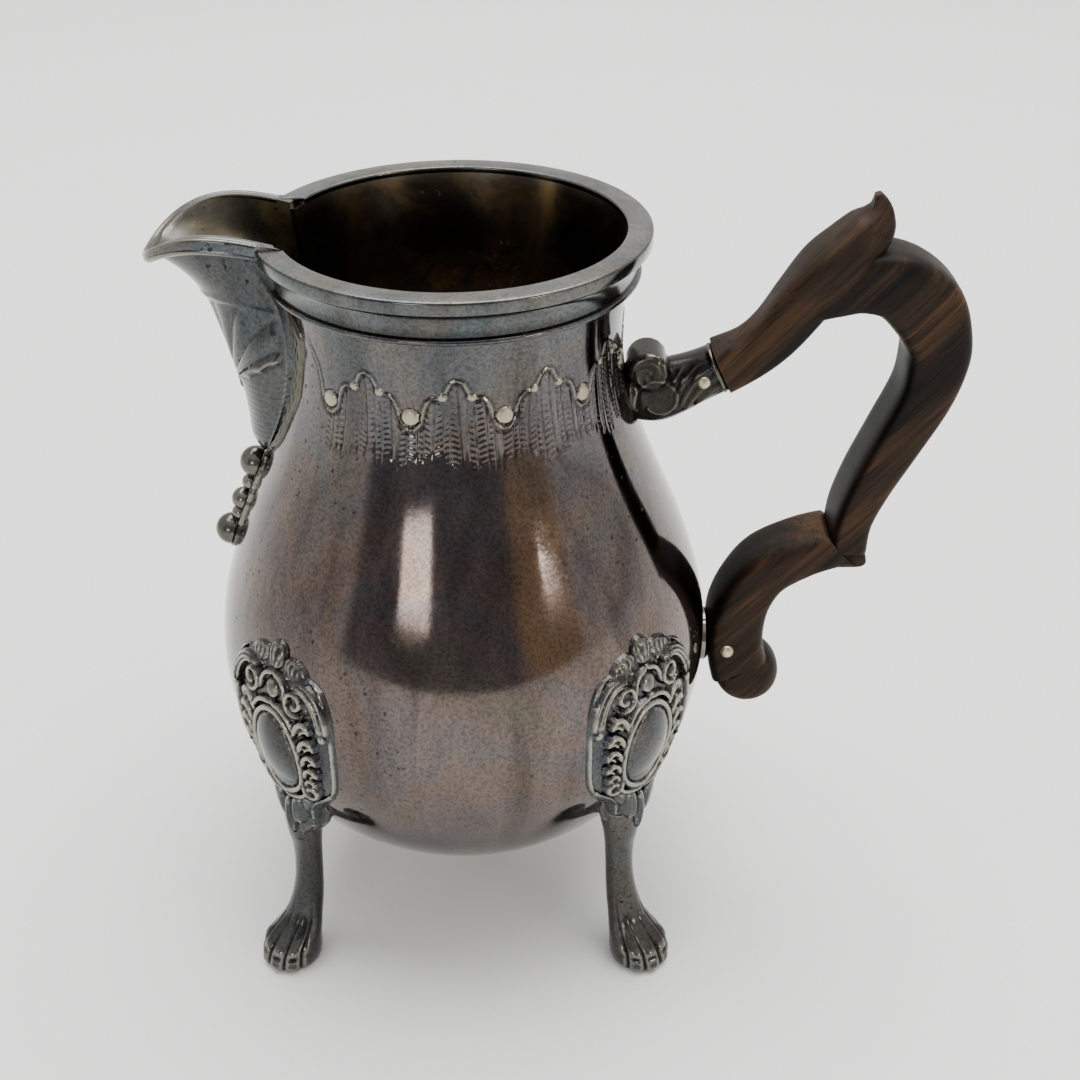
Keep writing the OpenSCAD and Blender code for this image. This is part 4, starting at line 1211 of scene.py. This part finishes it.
def build_handle():
    arm, arm_faces = carved_limb(ARM_STATIONS, 3.6, leaf_carving)
    arm = cut_flat(arm, along_socket(0.03)[::2], (-math.cos(SOCKET_SLOPE), -math.sin(SOCKET_SLOPE)))
    scroll, scroll_faces = carved_limb(SCROLL_STATIONS, 5.0)
    scroll = cut_flat(cut_flat(scroll, *SCROLL_TOP_CUT), *SCROLL_LOW_CUT)
    skins = [(arm, arm_faces), carved_limb(GRIP_STATIONS, 4.6), (scroll, scroll_faces)]
    side = HALF_W - 0.9
    heel = np.array(HEEL)
    middle = heel.mean(0)
    rings = []
    for grow, y in both_ends([(1.0, side), (0.95, side + 0.2), (0.86, side + 0.4)]):
        p = middle + (heel - middle) * grow
        rings.append(np.stack([p[:, 0], np.full(len(p), y), p[:, 1]], 1))
    skins.append(loft(rings))
    knob = both_ends([(SCROLL_END_R, 1.0), (5.0, 2.7), (4.1, 3.95), (2.6, 4.45), (0.5, 4.5)])
    skins.append(turned(smooth_curve(knob, 4), (SCROLL_END[0], 0, SCROLL_END[1]), (0, 1, 0), 96))
    mesh = new_mesh("handle", skins)

    def carve(p, n):
        """A short curl on each side of the scroll's end."""
        x, y, z = p.T
        radius, angle = about(x, z, SCROLL_END)
        curl = bell(radius - 2.2 - 0.35 * angle, 0.3) * (angle > -1.5)
        cut = 0.15 * curl * smoothstep(2.0, 3.2, np.abs(y)) * (radius < 4.6) * (z < 41)
        return p - n * cut[:, None]

    reshape(mesh, carve)
    make_piece("handle_scroll", mesh, rosewood, "rosewood", "wood_handle", crease=38)


build_handle()


# ---- pins and peg ----
def pin_skin(centre, half_l):
    head = [(0.72, half_l - 0.1), (1.12, half_l - 0.02), (1.15, half_l + 0.12), (1.0, half_l + 0.42),
            (0.72, half_l + 0.62), (0.36, half_l + 0.73), (0.02, half_l + 0.76)]
    return turned(both_ends(head), centre, (0, 1, 0), 40)


pins = [("upper", along_socket(-3.0), SOCKET_R - 0.15), ("lower", (43.8, 0, PEG_Z), HALF_W - 0.05)]
for place, centre, half_l in pins:
    mesh = new_mesh("pin_" + place, [pin_skin(centre, half_l)])
    make_piece("pin_" + place, mesh, pin_metal, "pin_metal", place + "_pin")
collar = [(2.0, 39.2), (4.1, 39.25), (4.5, 39.5), (4.55, 40.3), (4.2, 40.75), (3.5, 41.0), (1.9, PEG_SEAT_X),
          (1.9, 46.4), (1.6, 46.6)]
mesh = new_mesh("peg", [turned(collar, (0, 0, PEG_Z), (1, 0, 0))])
make_piece("peg_lower", mesh, silver, "tarnished_silver", "lower_peg")


# ---- stage, light and camera ----
def build_table(corners):
    s = Shader("pale_table")
    darker = tuple(0.985 * c for c in TABLE_COLOUR)
    s.finish(s.ramp(s.noise(3, 3), [(0.3, darker), (0.7, TABLE_COLOUR)]), 0.55)
    mesh = bpy.data.meshes.new("table")
    mesh.from_pydata(corners, [], [tuple(range(len(corners)))])
    mesh.materials.append(s.material)
    table = bpy.data.objects.new("table", mesh)
    bpy.context.scene.collection.objects.link(table)


TABLE_COLOUR = (0.78, 0.80, 0.79)
PALE_ROOM = (0.95, 0.93, 0.90)
DARK_ROOM = (0.34, 0.34, 0.36)
BROWN_ROOM = (0.80, 0.63, 0.44)
BACKDROP = (0.98, 0.98, 0.96)
ROOM_STRENGTH = 1.25
WINDOW_COLOUR = (1.0, 0.96, 0.90)
# The table ends in front of the jug; past it the silver mirrors a dark room
TABLE_X = 3.0
TABLE_FRONT_Y = -0.85
TABLE_BACK_Y = 4.0
build_table([(-TABLE_X, TABLE_FRONT_Y, 0), (TABLE_X, TABLE_FRONT_Y, 0), (TABLE_X, TABLE_BACK_Y, 0),
             (-TABLE_X, TABLE_BACK_Y, 0)])


def studio_world():
    """A pale room with a dark side behind the viewer and a brown part to its right."""
    world = bpy.data.worlds.new("studio")
    bpy.context.scene.world = world
    world.use_nodes = True
    s = Nodes(world.node_tree)

    def fade(value, start, end):
        return s.node("MapRange", {"Value": value, "From Min": start, "From Max": end},
                      interpolation_type="SMOOTHSTEP")

    place = s.node("TexCoord", {}, "Generated")
    # degrees to the right of the line from the jug to the viewer
    turn = s.times(s.math("ARCTAN2", s.part(place, "X"), s.times(s.part(place, "Y"), -1.0)), 180 / math.pi)
    dark = s.times(s.times(fade(turn, -57, -50), fade(turn, 62, 54)), fade(s.part(place, "Z"), 0.80, 0.45))
    room = s.mix(dark, PALE_ROOM, s.mix(fade(turn, 24, 34), DARK_ROOM, BROWN_ROOM))
    seen = s.node("LightPath", {}, "Is Camera Ray")
    background = s.tree.nodes["Background"]
    s.put(background.inputs["Color"], s.mix(seen, room, BACKDROP))
    background.inputs["Strength"].default_value = ROOM_STRENGTH


def soft_light(name, place, aim, size, power, colour=(1, 1, 1)):
    data = bpy.data.lights.new(name, "AREA")
    data.shape = "RECTANGLE"
    data.size, data.size_y = size
    data.energy = power
    data.color = colour
    lamp = bpy.data.objects.new(name, data)
    bpy.context.scene.collection.objects.link(lamp)
    lamp.location = place
    direction = np.asarray(aim) - np.asarray(place)
    lamp.rotation_euler = (math.atan2(math.hypot(*direction[:2]), -direction[2]), 0,
                           math.atan2(direction[1], direction[0]) - math.pi / 2)
    lamp.visible_camera = False


BELLY = (AXIS_X * MM, -0.04, 0.06)


def around_belly(turn, rise, distance):
    """A place seen from the belly at turn degrees right of the viewer and rise degrees up."""
    a = math.radians(turn)
    return (BELLY[0] + distance * math.sin(a), BELLY[1] - distance * math.cos(a),
            BELLY[2] + distance * math.tan(math.radians(rise)))


studio_world()
soft_light("window_left", around_belly(-22, 14.6, 1.2), BELLY, (0.33, 0.25), 2.5, WINDOW_COLOUR)
soft_light("window_right", around_belly(50, 13.6, 1.2), BELLY, (0.23, 0.13), 1.9, WINDOW_COLOUR)
soft_light("overhead", (0.1, 0.25, 1.3), (0, 0, 0), (1.4, 1.2), 34)

CAMERA_PLACE = (-0.00352, -0.2075, 0.1955)
CAMERA_PITCH = math.radians(32.24)
camera_data = bpy.data.cameras.new("camera")
camera_data.lens = 50
camera_data.sensor_width = 36
camera_data.clip_start = 0.01
camera = bpy.data.objects.new("camera", camera_data)
bpy.context.scene.collection.objects.link(camera)
camera.location = CAMERA_PLACE
camera.rotation_euler = (math.pi / 2 - CAMERA_PITCH, 0, 0)
bpy.context.scene.camera = camera
